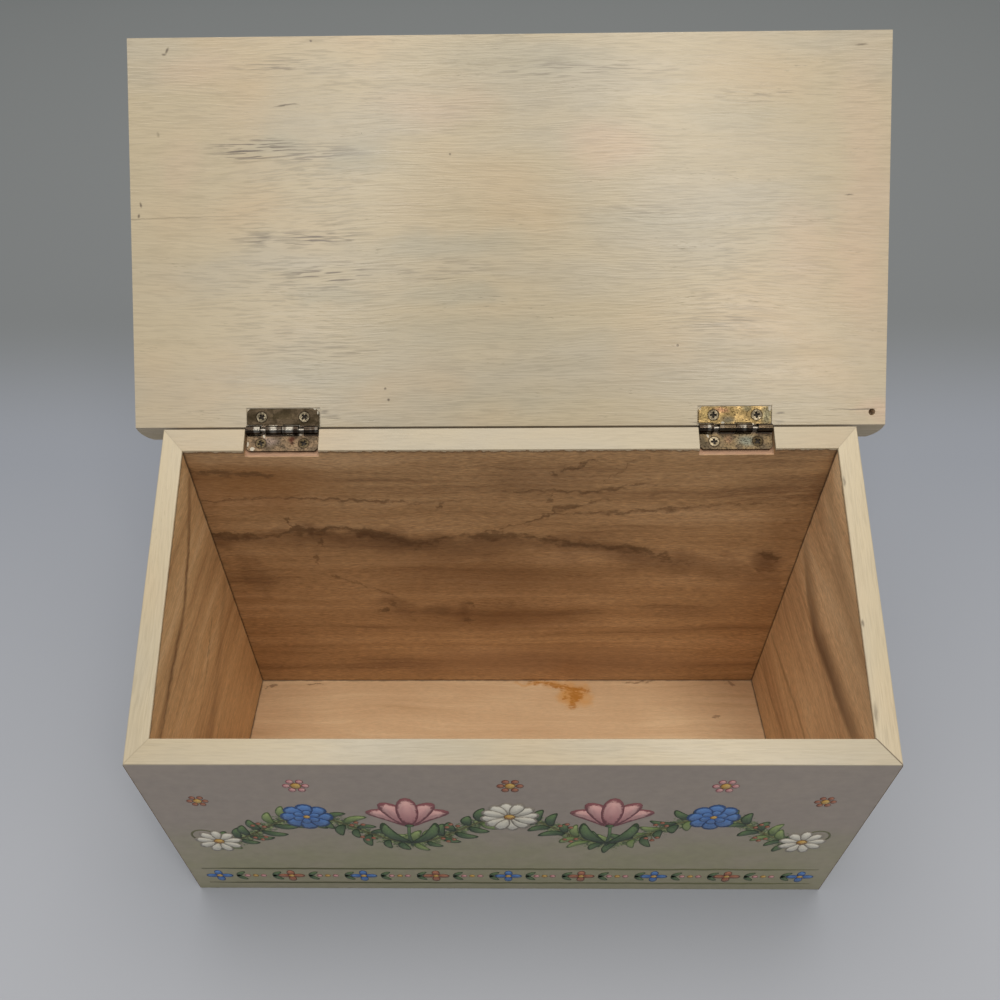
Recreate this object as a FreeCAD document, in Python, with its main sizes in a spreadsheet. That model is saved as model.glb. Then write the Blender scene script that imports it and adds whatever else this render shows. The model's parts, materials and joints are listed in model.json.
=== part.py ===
import FreeCAD, Part
import math
import os
import re
import Sketcher

# Recipe box with a slanted rim, an overhanging lid and two small butt hinges.
# Millimetres, +Z up, -Y towards the front. The origin is the middle of the underside.
# The lid stands open, as far back as open_angle says.

sizes = [
    ("box_width", 196.0, "outside, left to right"),
    ("box_depth", 84.0, "outside, front to back"),
    ("front_height", 78.0, "rim above the table at the outer front"),
    ("back_height", 118.0, "rim above the table at the outer back"),
    ("wall_thickness", 6.0, "front, back and side boards"),
    ("floor_thickness", 3.0, "bottom board"),
    ("rebate_width", 3.0, "how far the bottom board is let into the walls"),
    ("lid_thickness", 6.0, "lid board"),
    ("side_overhang", 8.7, "lid past the box, each side"),
    ("front_overhang", 16.5, "lid past the front rim, measured down the slope"),
    ("rear_setback", 1.0, "lid edge in from the rear rim edge, up the slope"),
    ("closing_gap", 0.2, "shut lid above the rim"),
    ("moulding_width", 3.0, "rounded lid edge, across the outer face"),
    ("moulding_depth", 4.8, "rounded lid edge, down the edge"),
    ("open_angle", 160.0, "lid turned back from shut, degrees"),
    ("old_hole_diameter", 1.9, "old hole in the lid's inner face"),
    ("old_hole_depth", 3.0, "old hole"),
    ("old_hole_side", 3.8, "old hole in from the lid's right edge"),
    ("old_hole_rear", 3.5, "old hole in from the lid's rear edge"),
    ("hinge_inset", 33.8, "middle of each hinge from the end of the box"),
    ("hinge_length", 20.5, "leaf along the pin"),
    ("leaf_width", 6.2, "pin axis to the far edge of a leaf"),
    ("leaf_thickness", 0.75, "brass strip"),
    ("leaf_clip", 0.9, "corners cut off each leaf"),
    ("pin_diameter", 1.0, "hinge pin"),
    ("pin_play", 0.05, "pin in its knuckles, radial"),
    ("end_knuckle", 4.0, "knuckle at the end of the barrel"),
    ("pin_window", 1.65, "bare pin between two knuckles"),
    ("knuckle_gap", 0.2, "between a knuckle and the other leaf, along the pin"),
    ("notch_play", 0.35, "between a knuckle and the other leaf, across the pin"),
    ("roll_gap", 0.15, "lip of the roll above the leaf"),
    ("tab_reach", 0.9, "pin axis to the leaf's edge beside the bare pin"),
    ("lid_recess_depth", 0.3, "hinge recess in the lid"),
    ("recess_play", 0.3, "recess past each end and edge of a leaf"),
    ("screw_spacing", 12.2, "screws along a leaf"),
    ("screw_line", 3.8, "screws from the pin axis"),
    ("screw_head", 2.9, "countersunk head, diameter"),
    ("screw_shank", 1.6, "shank, diameter"),
    ("screw_point", 1.6, "length of the tapered point"),
    ("screw_cover", 1.25, "wood left beyond the point in the lid"),
    ("screw_play", 0.02, "round the head, the shank and the point"),
    ("head_angle", 90.0, "countersunk head, included angle, degrees"),
    ("cross_length", 1.8, "cross recess in the head"),
    ("cross_width", 0.6, "cross recess"),
    ("cross_depth", 0.4, "cross recess"),
]

# Turn of each screw's cross, in degrees.
cross_turns = {
    "left_hinge_box_screw_left": 20,
    "left_hinge_box_screw_right": 65,
    "left_hinge_lid_screw_left": 30,
    "left_hinge_lid_screw_right": 40,
    "right_hinge_box_screw_left": 5,
    "right_hinge_box_screw_right": 35,
    "right_hinge_lid_screw_left": 0,
    "right_hinge_lid_screw_right": 12,
}

doc = FreeCAD.newDocument("recipe_box")
sheet = doc.addObject("Spreadsheet::Sheet", "Sizes")
for row, (alias, amount, note) in enumerate(sizes, start=1):
    sheet.set(f"A{row}", alias)
    sheet.set(f"B{row}", str(amount))
    sheet.setAlias(f"B{row}", alias)
    sheet.set(f"C{row}", note)
doc.recompute()

# What follows from the sizes. The pin lies at the rear edge of the rim, below it, where both leaves
# of a shut hinge are as far from its axis.
half_width = "(box_width / 2)"
half_depth = "(box_depth / 2)"
rise = "((back_height - front_height) / box_depth)"
slope = f"atan({rise})"
floor_half_width = f"({half_width} - wall_thickness + rebate_width)"
floor_half_depth = f"({half_depth} - wall_thickness + rebate_width)"
bore_radius = "(pin_diameter / 2 + pin_play)"
barrel_radius = f"({bore_radius} + leaf_thickness)"
lid_drop = f"({barrel_radius} - lid_recess_depth)"
pin_depth = f"({lid_drop} - closing_gap)"
rim_recess_depth = f"({barrel_radius} + {pin_depth})"
pin_y = f"({half_depth} + {pin_depth} * sin({slope}))"
pin_z = f"(back_height - {pin_depth} * cos({slope}))"
lid_angle = f"(180 deg + {slope} - open_angle * 1 deg)"
lid_outer = f"({lid_drop} + lid_thickness)"
lid_half_width = f"({half_width} + side_overhang)"
lid_front = f"(box_depth / cos({slope}) + front_overhang)"
moulding_radius = "((moulding_width ^ 2 + moulding_depth ^ 2) / (2 * moulding_width))"
hinge_centre = f"({half_width} - hinge_inset)"
inner_knuckle = "(hinge_length / 2 - end_knuckle - pin_window - knuckle_gap / 2)"
screw_length = "(lid_thickness - lid_recess_depth + leaf_thickness - screw_cover)"
screw_hole = "(screw_shank + 2 * screw_play)"

# How far a cut starts outside the wood or the metal.
margin = "10"


def in_sheet(text):
    """Every size has an underscore in its name, and no function has one."""
    return re.sub(r"\b([a-z]+_[a-z_]+)\b", r"Sizes.\1", text)


def number(text):
    result = sheet.evalExpression(in_sheet(text))
    return float(getattr(result, "Value", result))


def bind(item, path, text):
    item.setExpression(path, in_sheet(text))


def new_body(label):
    body = doc.addObject("PartDesign::Body", label)
    body.Label = label
    return body


def origin_plane(body, role):
    return next(item for item in body.Origin.OriginFeatures if item.Role == role)


def new_sketch(body, role, name, offset="0", turn=0.0):
    """Sketch on one of the body's origin planes, moved out along its normal and turned about it."""
    sketch = body.newObject("Sketcher::SketchObject", f"{body.Label}_{name}")
    sketch.AttachmentSupport = (origin_plane(body, role), [""])
    sketch.MapMode = "FlatFace"
    spin = FreeCAD.Rotation(FreeCAD.Vector(0, 0, 1), turn)
    sketch.AttachmentOffset = FreeCAD.Placement(FreeCAD.Vector(0, 0, 0), spin)
    bind(sketch, "AttachmentOffset.Base.z", offset)
    return sketch


def constrain(sketch, *parts, to=None):
    """Add a constraint, and bind it where it holds a size."""
    amount = [] if to is None else [number(to)]
    index = sketch.addConstraint(Sketcher.Constraint(*parts, *amount))
    if to is not None:
        bind(sketch, f"Constraints[{index}]", to)


def place_point(sketch, edge, end, x, y):
    constrain(sketch, "DistanceX", -1, 1, edge, end, to=x)
    constrain(sketch, "DistanceY", -1, 1, edge, end, to=y)


def outline(sketch, corners, arc=None):
    """Closed outline through the corners. arc = (edge, centre x, centre y) makes that edge an arc
    about the centre, clockwise on its way round."""
    first = sketch.GeometryCount
    points = [FreeCAD.Vector(number(x), number(y), 0) for x, y in corners]
    count = len(points)
    starts = [1] * count
    ends = [2] * count
    for index, point in enumerate(points):
        following = points[(index + 1) % count]
        if arc and arc[0] == index:
            centre = FreeCAD.Vector(number(arc[1]), number(arc[2]), 0)
            circle = Part.Circle(centre, FreeCAD.Vector(0, 0, 1), (point - centre).Length)
            edge = Part.ArcOfCircle(circle, circle.parameter(following), circle.parameter(point))
            starts[index], ends[index] = 2, 1
        else:
            edge = Part.LineSegment(point, following)
        sketch.addGeometry(edge)
    for index, corner in enumerate(corners):
        after = (index + 1) % count
        constrain(sketch, "Coincident", first + index, ends[index], first + after, starts[after])
        place_point(sketch, first + index, starts[index], *corner)
    if arc:
        constrain(sketch, "DistanceY", -1, 1, first + arc[0], 3, to=arc[2])


def circles(sketch, centres, diameter):
    for x, y in centres:
        middle = FreeCAD.Vector(number(x), number(y), 0)
        edge = sketch.addGeometry(Part.Circle(middle, FreeCAD.Vector(0, 0, 1), number(diameter) / 2))
        place_point(sketch, edge, 3, x, y)
        constrain(sketch, "Diameter", edge, to=diameter)


def rectangle(half_x, half_y):
    return [
        (f"-{half_x}", f"-{half_y}"),
        (half_x, f"-{half_y}"),
        (half_x, half_y),
        (f"-{half_x}", half_y),
    ]


def pad(body, sketch, length, both_ways=False):
    feature = body.newObject("PartDesign::Pad", f"{sketch.Name}_pad")
    feature.Profile = sketch
    feature.SideType = "Symmetric" if both_ways else "One side"
    bind(feature, "Length", length)
    doc.recompute()


def check_cut(feature, before):
    """A cut that points away from the solid takes nothing off and says nothing."""
    doc.recompute()
    if not feature.Shape.Volume < before:
        raise RuntimeError(f"{feature.Name} cuts nothing")


def pocket(body, sketch, length=None, both_ways=False, reverse=False):
    """Cut the sketch out, right through where no length is given."""
    before = body.Shape.Volume
    feature = body.newObject("PartDesign::Pocket", f"{sketch.Name}_cut")
    feature.Profile = sketch
    feature.SideType = "Symmetric" if both_ways else "One side"
    feature.Reversed = reverse
    if length is None:
        feature.Type = "ThroughAll"
    else:
        bind(feature, "Length", length)
    check_cut(feature, before)
    return feature


def mirror(body, feature, name):
    """Repeat a cut on the other side of the plane x = 0."""
    before = body.Shape.Volume
    mirrored = body.newObject("PartDesign::Mirrored", f"{body.Label}_{name}")
    mirrored.Originals = [feature]
    mirrored.MirrorPlane = (origin_plane(body, "YZ_Plane"), [""])
    body.Tip = mirrored
    check_cut(mirrored, before)


def new_hole(body, sketch, centres):
    """Round holes of the screws' size, still to be given their depth or their countersink."""
    circles(sketch, centres, screw_hole)
    doc.recompute()
    hole = body.newObject("PartDesign::Hole", f"{sketch.Name}_drilled")
    hole.Profile = sketch
    doc.recompute()
    hole.ThreadType = "None"
    bind(hole, "Diameter", screw_hole)
    return hole


def pilot_holes(body, sketch, line):
    """Blind holes from the floor of each hinge recess, as deep and as tapered as the screws."""
    before = body.Shape.Volume
    hole = new_hole(body, sketch, [
        (f"{side} * ({hinge_centre} + {end} * screw_spacing / 2)", line)
        for side in (-1, 1)
        for end in (-1, 1)
    ])
    hole.DepthType = "Dimension"
    hole.DrillPoint = "Angled"
    hole.DrillForDepth = True
    point_play = "screw_play * (1 + 2 * screw_point / screw_shank)"
    bind(hole, "Depth", f"{screw_length} - leaf_thickness + {point_play}")
    bind(hole, "DrillPointAngle", "2 * atan(screw_shank / 2 / screw_point)")
    check_cut(hole, before)


def place(body, point, axis, angle):
    for name, text in zip("xyz", point):
        bind(body, f"Placement.Base.{name}", text)
    for name, text in zip("xyz", axis):
        bind(body, f"Placement.Rotation.Axis.{name}", text)
    bind(body, "Placement.Rotation.Angle", angle)


def place_on_lid(body, x="0", y="0", z="0"):
    """Frame of what moves with the lid, on the pin axis: x to the right, y out along the lid's inner
    face, z out of that face."""
    point = (
        x,
        f"{pin_y} + ({y}) * cos({lid_angle}) - ({z}) * sin({lid_angle})",
        f"{pin_z} + ({y}) * sin({lid_angle}) + ({z}) * cos({lid_angle})",
    )
    place(body, point, ("1", "0", "0"), lid_angle)


def place_on_rim(body, x="0", y="0", z="0"):
    """Frame of what is let into the rim, on the pin axis: x to the left, y down the slope, z out of
    the rim. A piece made for the lid fits here turned end for end."""
    point = (
        x,
        f"{pin_y} - ({y}) * cos({slope}) - ({z}) * sin({slope})",
        f"{pin_z} - ({y}) * sin({slope}) + ({z}) * cos({slope})",
    )
    place(body, point, ("0", f"-sin({slope} / 2)", f"cos({slope} / 2)"), "180 deg")


outer_corners = rectangle(half_width, half_depth)
inner_corners = rectangle(f"({half_width} - wall_thickness)", f"({half_depth} - wall_thickness)")


def make_wall(label, corner):
    """Board with a mitre at both ends, from one corner of the plan to the next. Its rim is planed to
    the slope and its foot is rebated for the bottom board."""
    body = new_body(label)
    after = (corner + 1) % 4
    plan = new_sketch(body, "XY_Plane", "plan")
    outline(plan, [outer_corners[corner], outer_corners[after], inner_corners[after], inner_corners[corner]])
    pad(body, plan, "back_height")
    rim = new_sketch(body, "YZ_Plane", "rim")
    outline(rim, [
        (f"-{half_depth} - {margin}", f"front_height - {margin} * {rise}"),
        (f"{half_depth} + {margin}", f"back_height + {margin} * {rise}"),
        (f"-{half_depth} - {margin}", f"back_height + {margin} * {rise}"),
    ])
    pocket(body, rim, both_ways=True)
    rebate = new_sketch(body, "XY_Plane", "rebate")
    outline(rebate, rectangle(floor_half_width, floor_half_depth))
    pocket(body, rebate, "floor_thickness", reverse=True)
    return body


def make_back_panel(label, corner):
    """The back wall has a recess right across its rim for each hinge, square to the slope."""
    body = make_wall(label, corner)
    recess = new_sketch(body, "YZ_Plane", "recess", hinge_centre)
    front_y = f"({half_depth} - wall_thickness - {margin})"
    front_z = f"(back_height - (wall_thickness + {margin}) * {rise})"
    rear_y = f"({half_depth} + {margin})"
    rear_z = f"(back_height + {margin} * {rise})"
    drop_y = f"{rim_recess_depth} * sin({slope})"
    drop_z = f"{rim_recess_depth} * cos({slope})"
    outline(recess, [
        (f"{front_y} + {drop_y}", f"{front_z} - {drop_z}"),
        (f"{rear_y} + {drop_y}", f"{rear_z} - {drop_z}"),
        (f"{rear_y} - {drop_y}", f"{rear_z} + {drop_z}"),
        (f"{front_y} - {drop_y}", f"{front_z} + {drop_z}"),
    ])
    recess_cut = pocket(body, recess, "hinge_length + 2 * recess_play", both_ways=True)
    mirror(body, recess_cut, "recesses")
    holes = new_sketch(body, "XY_Plane", "screw_holes")
    tilt = FreeCAD.Rotation(FreeCAD.Vector(1, 0, 0), number(slope))
    holes.AttachmentOffset = FreeCAD.Placement(FreeCAD.Vector(0, 0, 0), tilt)
    bind(holes, "AttachmentOffset.Rotation.Angle", slope)
    bind(holes, "AttachmentOffset.Base.y", f"{half_depth} + {drop_y}")
    bind(holes, "AttachmentOffset.Base.z", f"back_height - {drop_z}")
    pilot_holes(body, holes, "-screw_line")
    return body


def make_bottom_panel(label):
    body = new_body(label)
    board = new_sketch(body, "XY_Plane", "board")
    outline(board, rectangle(floor_half_width, floor_half_depth))
    pad(body, board, "floor_thickness")
    return body


def make_lid(label):
    """The lid's front and side edges are rounded over on the outer face. Its rear edge is upright
    when the lid is shut. The hinge recesses are shallow and open at the rear."""
    body = new_body(label)
    tangent = f"-{lid_outer} + moulding_depth"
    board = new_sketch(body, "YZ_Plane", "board")
    outline(board, [
        ("rear_setback", f"-{lid_drop}"),
        (lid_front, f"-{lid_drop}"),
        (lid_front, tangent),
        (f"{lid_front} - moulding_width", f"-{lid_outer}"),
        (f"rear_setback - lid_thickness * {rise}", f"-{lid_outer}"),
    ], arc=(2, f"{lid_front} - {moulding_radius}", tangent))
    pad(body, board, f"2 * {lid_half_width}", both_ways=True)
    side_edge = new_sketch(body, "XZ_Plane", "side_edge")
    outline(side_edge, [
        (lid_half_width, tangent),
        (f"{lid_half_width} - moulding_width", f"-{lid_outer}"),
        (f"{lid_half_width} - moulding_width", f"-{lid_outer} - {margin}"),
        (f"{lid_half_width} + {margin}", f"-{lid_outer} - {margin}"),
        (f"{lid_half_width} + {margin}", tangent),
    ], arc=(0, f"{lid_half_width} - {moulding_radius}", tangent))
    mirror(body, pocket(body, side_edge, both_ways=True), "side_edges")
    recess = new_sketch(body, "YZ_Plane", "recess", hinge_centre)
    outline(recess, [
        (f"-{margin}", f"-{barrel_radius}"),
        ("leaf_width + recess_play", f"-{barrel_radius}"),
        ("leaf_width + recess_play", margin),
        (f"-{margin}", margin),
    ])
    recess_cut = pocket(body, recess, "hinge_length + 2 * recess_play", both_ways=True)
    mirror(body, recess_cut, "recesses")
    pilot_holes(body, new_sketch(body, "XY_Plane", "screw_holes", f"-{barrel_radius}"), "screw_line")
    old_hole = new_sketch(body, "XY_Plane", "old_hole", f"-{lid_drop}")
    middle = (f"{lid_half_width} - old_hole_side", "rear_setback + old_hole_rear")
    circles(old_hole, [middle], "old_hole_diameter")
    pocket(body, old_hole, "old_hole_depth")
    place_on_lid(body)
    return body


def draw_rolled_strip(sketch):
    """Section of a leaf: a flat strip rolled round the pin, its lip just above the flat again."""
    middle = FreeCAD.Vector(0, 0, 0)
    upright = FreeCAD.Vector(0, 0, 1)
    bore = number(bore_radius)
    barrel = number(barrel_radius)
    width = number("leaf_width")
    lip = math.asin((number("roll_gap") - bore) / barrel)
    foot = 1.5 * math.pi
    outwards = FreeCAD.Vector(math.cos(lip), math.sin(lip), 0)
    outer_face_start = FreeCAD.Vector(0, -barrel, 0)
    inner_face_start = FreeCAD.Vector(0, -bore, 0)
    outer_face_end = FreeCAD.Vector(width, -barrel, 0)
    inner_face_end = FreeCAD.Vector(width, -bore, 0)
    barrel_arc, lip_edge, bore_arc, inner_face, far_edge, outer_face = sketch.addGeometry([
        Part.ArcOfCircle(Part.Circle(middle, upright, barrel), lip, foot),
        Part.LineSegment(outwards * barrel, outwards * bore),
        Part.ArcOfCircle(Part.Circle(middle, upright, bore), lip, foot),
        Part.LineSegment(inner_face_start, inner_face_end),
        Part.LineSegment(inner_face_end, outer_face_end),
        Part.LineSegment(outer_face_end, outer_face_start),
    ])
    constrain(sketch, "Coincident", barrel_arc, 3, -1, 1)
    constrain(sketch, "Coincident", bore_arc, 3, -1, 1)
    constrain(sketch, "Coincident", barrel_arc, 1, lip_edge, 1)
    constrain(sketch, "Coincident", lip_edge, 2, bore_arc, 1)
    constrain(sketch, "PointOnObject", -1, 1, lip_edge)
    constrain(sketch, "Coincident", bore_arc, 2, inner_face, 1)
    constrain(sketch, "Coincident", inner_face, 2, far_edge, 1)
    constrain(sketch, "Coincident", far_edge, 2, outer_face, 1)
    constrain(sketch, "Coincident", outer_face, 2, barrel_arc, 2)
    constrain(sketch, "Horizontal", inner_face)
    constrain(sketch, "Horizontal", outer_face)
    constrain(sketch, "Vertical", far_edge)
    constrain(sketch, "PointOnObject", inner_face, 1, -2)
    constrain(sketch, "PointOnObject", outer_face, 2, -2)
    constrain(sketch, "Radius", barrel_arc, to=barrel_radius)
    constrain(sketch, "Radius", bore_arc, to=bore_radius)
    constrain(sketch, "DistanceX", -1, 1, far_edge, 1, to="leaf_width")
    constrain(sketch, "DistanceY", -1, 1, barrel_arc, 1, to=f"roll_gap - {bore_radius}")


def make_leaf(label):
    """Rolled leaf with two knuckles. The strip is notched where the other leaf's knuckles turn, and
    stops short beside the bare pin. Both leaves of a hinge are this piece."""
    body = new_body(label)
    section = new_sketch(body, "YZ_Plane", "section")
    draw_rolled_strip(section)
    pad(body, section, "hinge_length", both_ways=True)
    end = "(hinge_length / 2)"
    half_gap = "(knuckle_gap / 2)"
    notch = f"({barrel_radius} + notch_play)"
    notches = new_sketch(body, "XY_Plane", "notches")
    windows = new_sketch(body, "XY_Plane", "windows", f"-{bore_radius}")
    for start, turn_end, window_end in (
        (f"-{end} - {margin}", f"-{end} + end_knuckle + knuckle_gap", f"-{half_gap} - {inner_knuckle}"),
        (f"-{half_gap}", f"{half_gap} + {inner_knuckle} + knuckle_gap", f"{end} - end_knuckle"),
    ):
        outline(notches, [
            (start, f"-{margin}"),
            (window_end, f"-{margin}"),
            (window_end, "tab_reach"),
            (turn_end, "tab_reach"),
            (turn_end, notch),
            (start, notch),
        ])
        outline(windows, [(turn_end, "0"), (window_end, "0"), (window_end, notch), (turn_end, notch)])
    pocket(body, notches, both_ways=True)
    pocket(body, windows, reverse=True)
    corners = new_sketch(body, "XY_Plane", "clipped_corners")
    for side in (-1, 1):
        outline(corners, [
            (f"{side} * ({end} - leaf_clip)", "leaf_width"),
            (f"{side} * {end}", "leaf_width - leaf_clip"),
            (f"{side} * ({end} + {margin})", "leaf_width - leaf_clip"),
            (f"{side} * ({end} + {margin})", f"leaf_width + {margin}"),
            (f"{side} * ({end} - leaf_clip)", f"leaf_width + {margin}"),
        ])
    pocket(body, corners, both_ways=True)
    before = body.Shape.Volume
    faces = new_sketch(body, "XY_Plane", "screw_holes", f"-{bore_radius}")
    hole = new_hole(body, faces, [(f"{side} * screw_spacing / 2", "screw_line") for side in (-1, 1)])
    hole.DepthType = "ThroughAll"
    hole.HoleCutType = "Countersink"
    hole.HoleCutCustomValues = True
    bind(hole, "HoleCutDiameter", "screw_head + 2 * screw_play")
    bind(hole, "HoleCutCountersinkAngle", "head_angle * 1 deg")
    check_cut(hole, before)
    return body


def make_pin(label):
    body = new_body(label)
    section = new_sketch(body, "YZ_Plane", "section")
    circles(section, [("0", "0")], "pin_diameter")
    pad(body, section, "hinge_length", both_ways=True)
    return body


def make_screw(label):
    """Countersunk wood screw with a cross recess, its head's face at z = 0 and its point down."""
    body = new_body(label)
    head = "(screw_head / 2)"
    shank = "(screw_shank / 2)"
    profile = new_sketch(body, "XZ_Plane", "profile")
    outline(profile, [
        ("0", "0"),
        (head, "0"),
        (shank, f"-({head} - {shank}) / tan(head_angle / 2 * 1 deg)"),
        (shank, f"screw_point - {screw_length}"),
        ("0", f"-{screw_length}"),
    ])
    turned = body.newObject("PartDesign::Revolution", f"{label}_turned")
    turned.Profile = profile
    turned.ReferenceAxis = (profile, ["V_Axis"])
    doc.recompute()
    cross = new_sketch(body, "XY_Plane", "cross", turn=cross_turns[label])
    arm = "cross_length / 2"
    waist = "cross_width / 2"
    outline(cross, [
        (arm, f"-{waist}"), (arm, waist), (waist, waist),
        (waist, arm), (f"-{waist}", arm), (f"-{waist}", waist),
        (f"-{arm}", waist), (f"-{arm}", f"-{waist}"), (f"-{waist}", f"-{waist}"),
        (f"-{waist}", f"-{arm}"), (waist, f"-{arm}"), (waist, f"-{waist}"),
    ])
    pocket(body, cross, "cross_depth")
    return body


def make_hinge(side, sign):
    """Two leaves on one pin, and the screws that hold them: two in the rim, two in the lid."""
    middle = f"{sign} * {hinge_centre}"
    box_leaf = make_leaf(f"{side}_hinge_box_leaf")
    place_on_rim(box_leaf, middle)
    lid_leaf = make_leaf(f"{side}_hinge_lid_leaf")
    place_on_lid(lid_leaf, middle)
    pin = make_pin(f"{side}_hinge_pin")
    place_on_rim(pin, middle)
    screws = []
    for holder, place_screw in (("box", place_on_rim), ("lid", place_on_lid)):
        for hand, end in (("left", -1), ("right", 1)):
            screw = make_screw(f"{side}_hinge_{holder}_screw_{hand}")
            place_screw(screw, f"{middle} + {end} * screw_spacing / 2", "screw_line", f"-{bore_radius}")
            screws.append(screw)
    return [box_leaf, lid_leaf, pin, *screws]


pieces = [
    make_wall("front_panel", 0),
    make_wall("right_panel", 1),
    make_back_panel("back_panel", 2),
    make_wall("left_panel", 3),
    make_bottom_panel("bottom_panel"),
    make_lid("lid_board"),
    *make_hinge("left", -1),
    *make_hinge("right", 1),
]

doc.recompute()
for item in doc.Objects:
    if "Invalid" in item.State or "Error" in item.State:
        raise RuntimeError(f"{item.Name} is {item.State}")
for piece in pieces:
    if piece.Shape.isNull() or not piece.Shape.isValid() or len(piece.Shape.Solids) != 1:
        raise RuntimeError(f"{piece.Label} isn't one valid solid")

os.makedirs("parts", exist_ok=True)
for piece in pieces:
    piece.Shape.exportStep(f"parts/{piece.Label}.step")
    print(f"{piece.Label}: {piece.Shape.Volume:.1f} cubic mm")
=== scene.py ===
import json
import math
import random

import bmesh
import bpy
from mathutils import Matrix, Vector


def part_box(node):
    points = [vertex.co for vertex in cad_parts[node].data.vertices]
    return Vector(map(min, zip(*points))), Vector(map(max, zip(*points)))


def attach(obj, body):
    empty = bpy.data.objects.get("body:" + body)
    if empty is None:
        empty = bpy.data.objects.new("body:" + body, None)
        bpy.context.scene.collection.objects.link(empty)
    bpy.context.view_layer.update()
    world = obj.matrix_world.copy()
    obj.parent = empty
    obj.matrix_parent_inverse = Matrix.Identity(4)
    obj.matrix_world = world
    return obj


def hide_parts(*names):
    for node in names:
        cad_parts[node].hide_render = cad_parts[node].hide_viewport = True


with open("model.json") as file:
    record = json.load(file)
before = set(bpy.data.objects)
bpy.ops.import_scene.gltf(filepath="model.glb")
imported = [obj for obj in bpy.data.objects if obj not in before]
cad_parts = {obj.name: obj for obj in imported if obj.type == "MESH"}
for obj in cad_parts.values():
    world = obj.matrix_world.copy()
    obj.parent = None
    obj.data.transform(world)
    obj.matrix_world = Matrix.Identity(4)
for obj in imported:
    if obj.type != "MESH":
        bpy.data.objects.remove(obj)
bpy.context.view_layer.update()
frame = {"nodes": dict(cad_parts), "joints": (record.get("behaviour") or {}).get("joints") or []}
mm = 0.001
scene = bpy.context.scene
scene.view_settings.view_transform = "Standard"
print("frame loaded:", len(frame["nodes"]), "nodes")

# Where the boards are, read from the frame, in mm
frontLow, frontHigh = (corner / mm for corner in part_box("front_panel"))
backLow, backHigh = (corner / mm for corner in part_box("back_panel"))
leftLow, leftHigh = (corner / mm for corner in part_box("left_panel"))
insideX = -leftHigh.x  # half the room inside
insideY = -frontHigh.y
rimSlope = math.atan2(backHigh.z - frontHigh.z, backHigh.y - frontHigh.y)
rimUp = Vector((0, -math.sin(rimSlope), math.cos(rimSlope)))
rimHeight = rimUp.dot(Vector((0, backHigh.y, backHigh.z)))
pivot = Vector(frame["joints"][0]["pos_m"]) / mm
lidFaces = frame["nodes"]["lid_board"].data.polygons
lidUp = max(lidFaces, key=lambda face: face.area).normal.copy()
if lidUp.z < 0:
    lidUp.negate()  # the way the lid's inner face looks
lidAngle = math.atan2(-lidUp.y, lidUp.z)


# Shader helpers

def linear(hexColour):
    # sRGB hex to the linear colour that the shaders take
    channels = [int(hexColour[i:i + 2], 16) / 255 for i in (0, 2, 4)]
    return (*[c / 12.92 if c < 0.04045 else ((c + 0.055) / 1.055) ** 2.4 for c in channels], 1.0)


def add(tree, kind, sockets=None, **settings):
    # Adds one node. A socket takes a plain value, a node, or a node and the name of its output
    node = tree.nodes.new("ShaderNode" + kind)
    for name, value in settings.items():
        setattr(node, name, value)
    for key, value in (sockets or {}).items():
        byName = [s for s in node.inputs if s.name == key and s.enabled]
        socket = node.inputs[key] if isinstance(key, int) else byName[0]
        if isinstance(value, bpy.types.Node):
            tree.links.new(next(s for s in value.outputs if s.enabled), socket)
        elif isinstance(value, tuple) and isinstance(value[0], bpy.types.Node):
            tree.links.new(value[0].outputs[value[1]], socket)
        else:
            socket.default_value = value
    return node


def newFinish(name, **values):
    # A material, its tree and its Principled shader, with the values that are the same all over
    material = bpy.data.materials.new(name)
    material.use_nodes = True
    tree = material.node_tree
    shader = tree.nodes["Principled BSDF"]
    for socket, value in values.items():
        shader.inputs[socket.replace("_", " ")].default_value = value
    return material, tree, shader


def boardPlace(tree, turn, origin=(0, 0, 0)):
    # Millimetres on a board: X along its grain, Y across its face, Z into it
    spot = add(tree, "TexCoord")
    return add(tree, "Mapping", {
        "Vector": (spot, "Object"),
        "Location": [v * mm for v in origin],
        "Rotation": turn,
        "Scale": (mm, mm, mm),
    }, vector_type="TEXTURE")


def figure(tree, place, length, width, seed, detail=2.0, roughness=0.55):
    # Noise drawn out along the grain; length and width are those of one feature in mm
    drawn = add(tree, "Mapping", {"Vector": place, "Scale": (1 / length, 1 / width, 1 / width)})
    return add(tree, "TexNoise", {
        "Vector": drawn, "W": seed, "Scale": 1.0, "Detail": detail, "Roughness": roughness,
    }, noise_dimensions="4D")


def paintOver(tree, colour, share, over):
    # Lays a second colour over the first by a share from 0 to 1
    return add(tree, "Mix", {"Factor": share, "A": colour, "B": over}, data_type="RGBA")


def wander(tree, place, size, amount, seed):
    # The same place, shifted by noise, so that drawn lines and edges come out uneven
    noise = add(tree, "TexNoise", {"Vector": place, "W": seed, "Scale": 1 / size, "Detail": 3.0},
                noise_dimensions="4D")
    centred = add(tree, "VectorMath", {0: (noise, "Color"), 1: (0.5, 0.5, 0.5)}, operation="SUBTRACT")
    shift = add(tree, "VectorMath", {0: centred, 1: amount}, operation="MULTIPLY")
    return add(tree, "VectorMath", {0: place, 1: shift})


def oval(tree, place, centre, halves, turn, strength):
    # A soft-edged oval; its half sizes are in mm, its turn in degrees
    local = add(tree, "Mapping", {
        "Vector": place,
        "Location": (*centre, 0),
        "Rotation": (0, 0, math.radians(turn)),
        "Scale": (*halves, 1e4),
    }, vector_type="TEXTURE")
    reach = add(tree, "VectorMath", {0: local}, operation="LENGTH")
    return add(tree, "MapRange", {0: reach, 1: 0.15, 2: 1.0, 3: strength, 4: 0.0},
               interpolation_type="SMOOTHSTEP")


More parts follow.
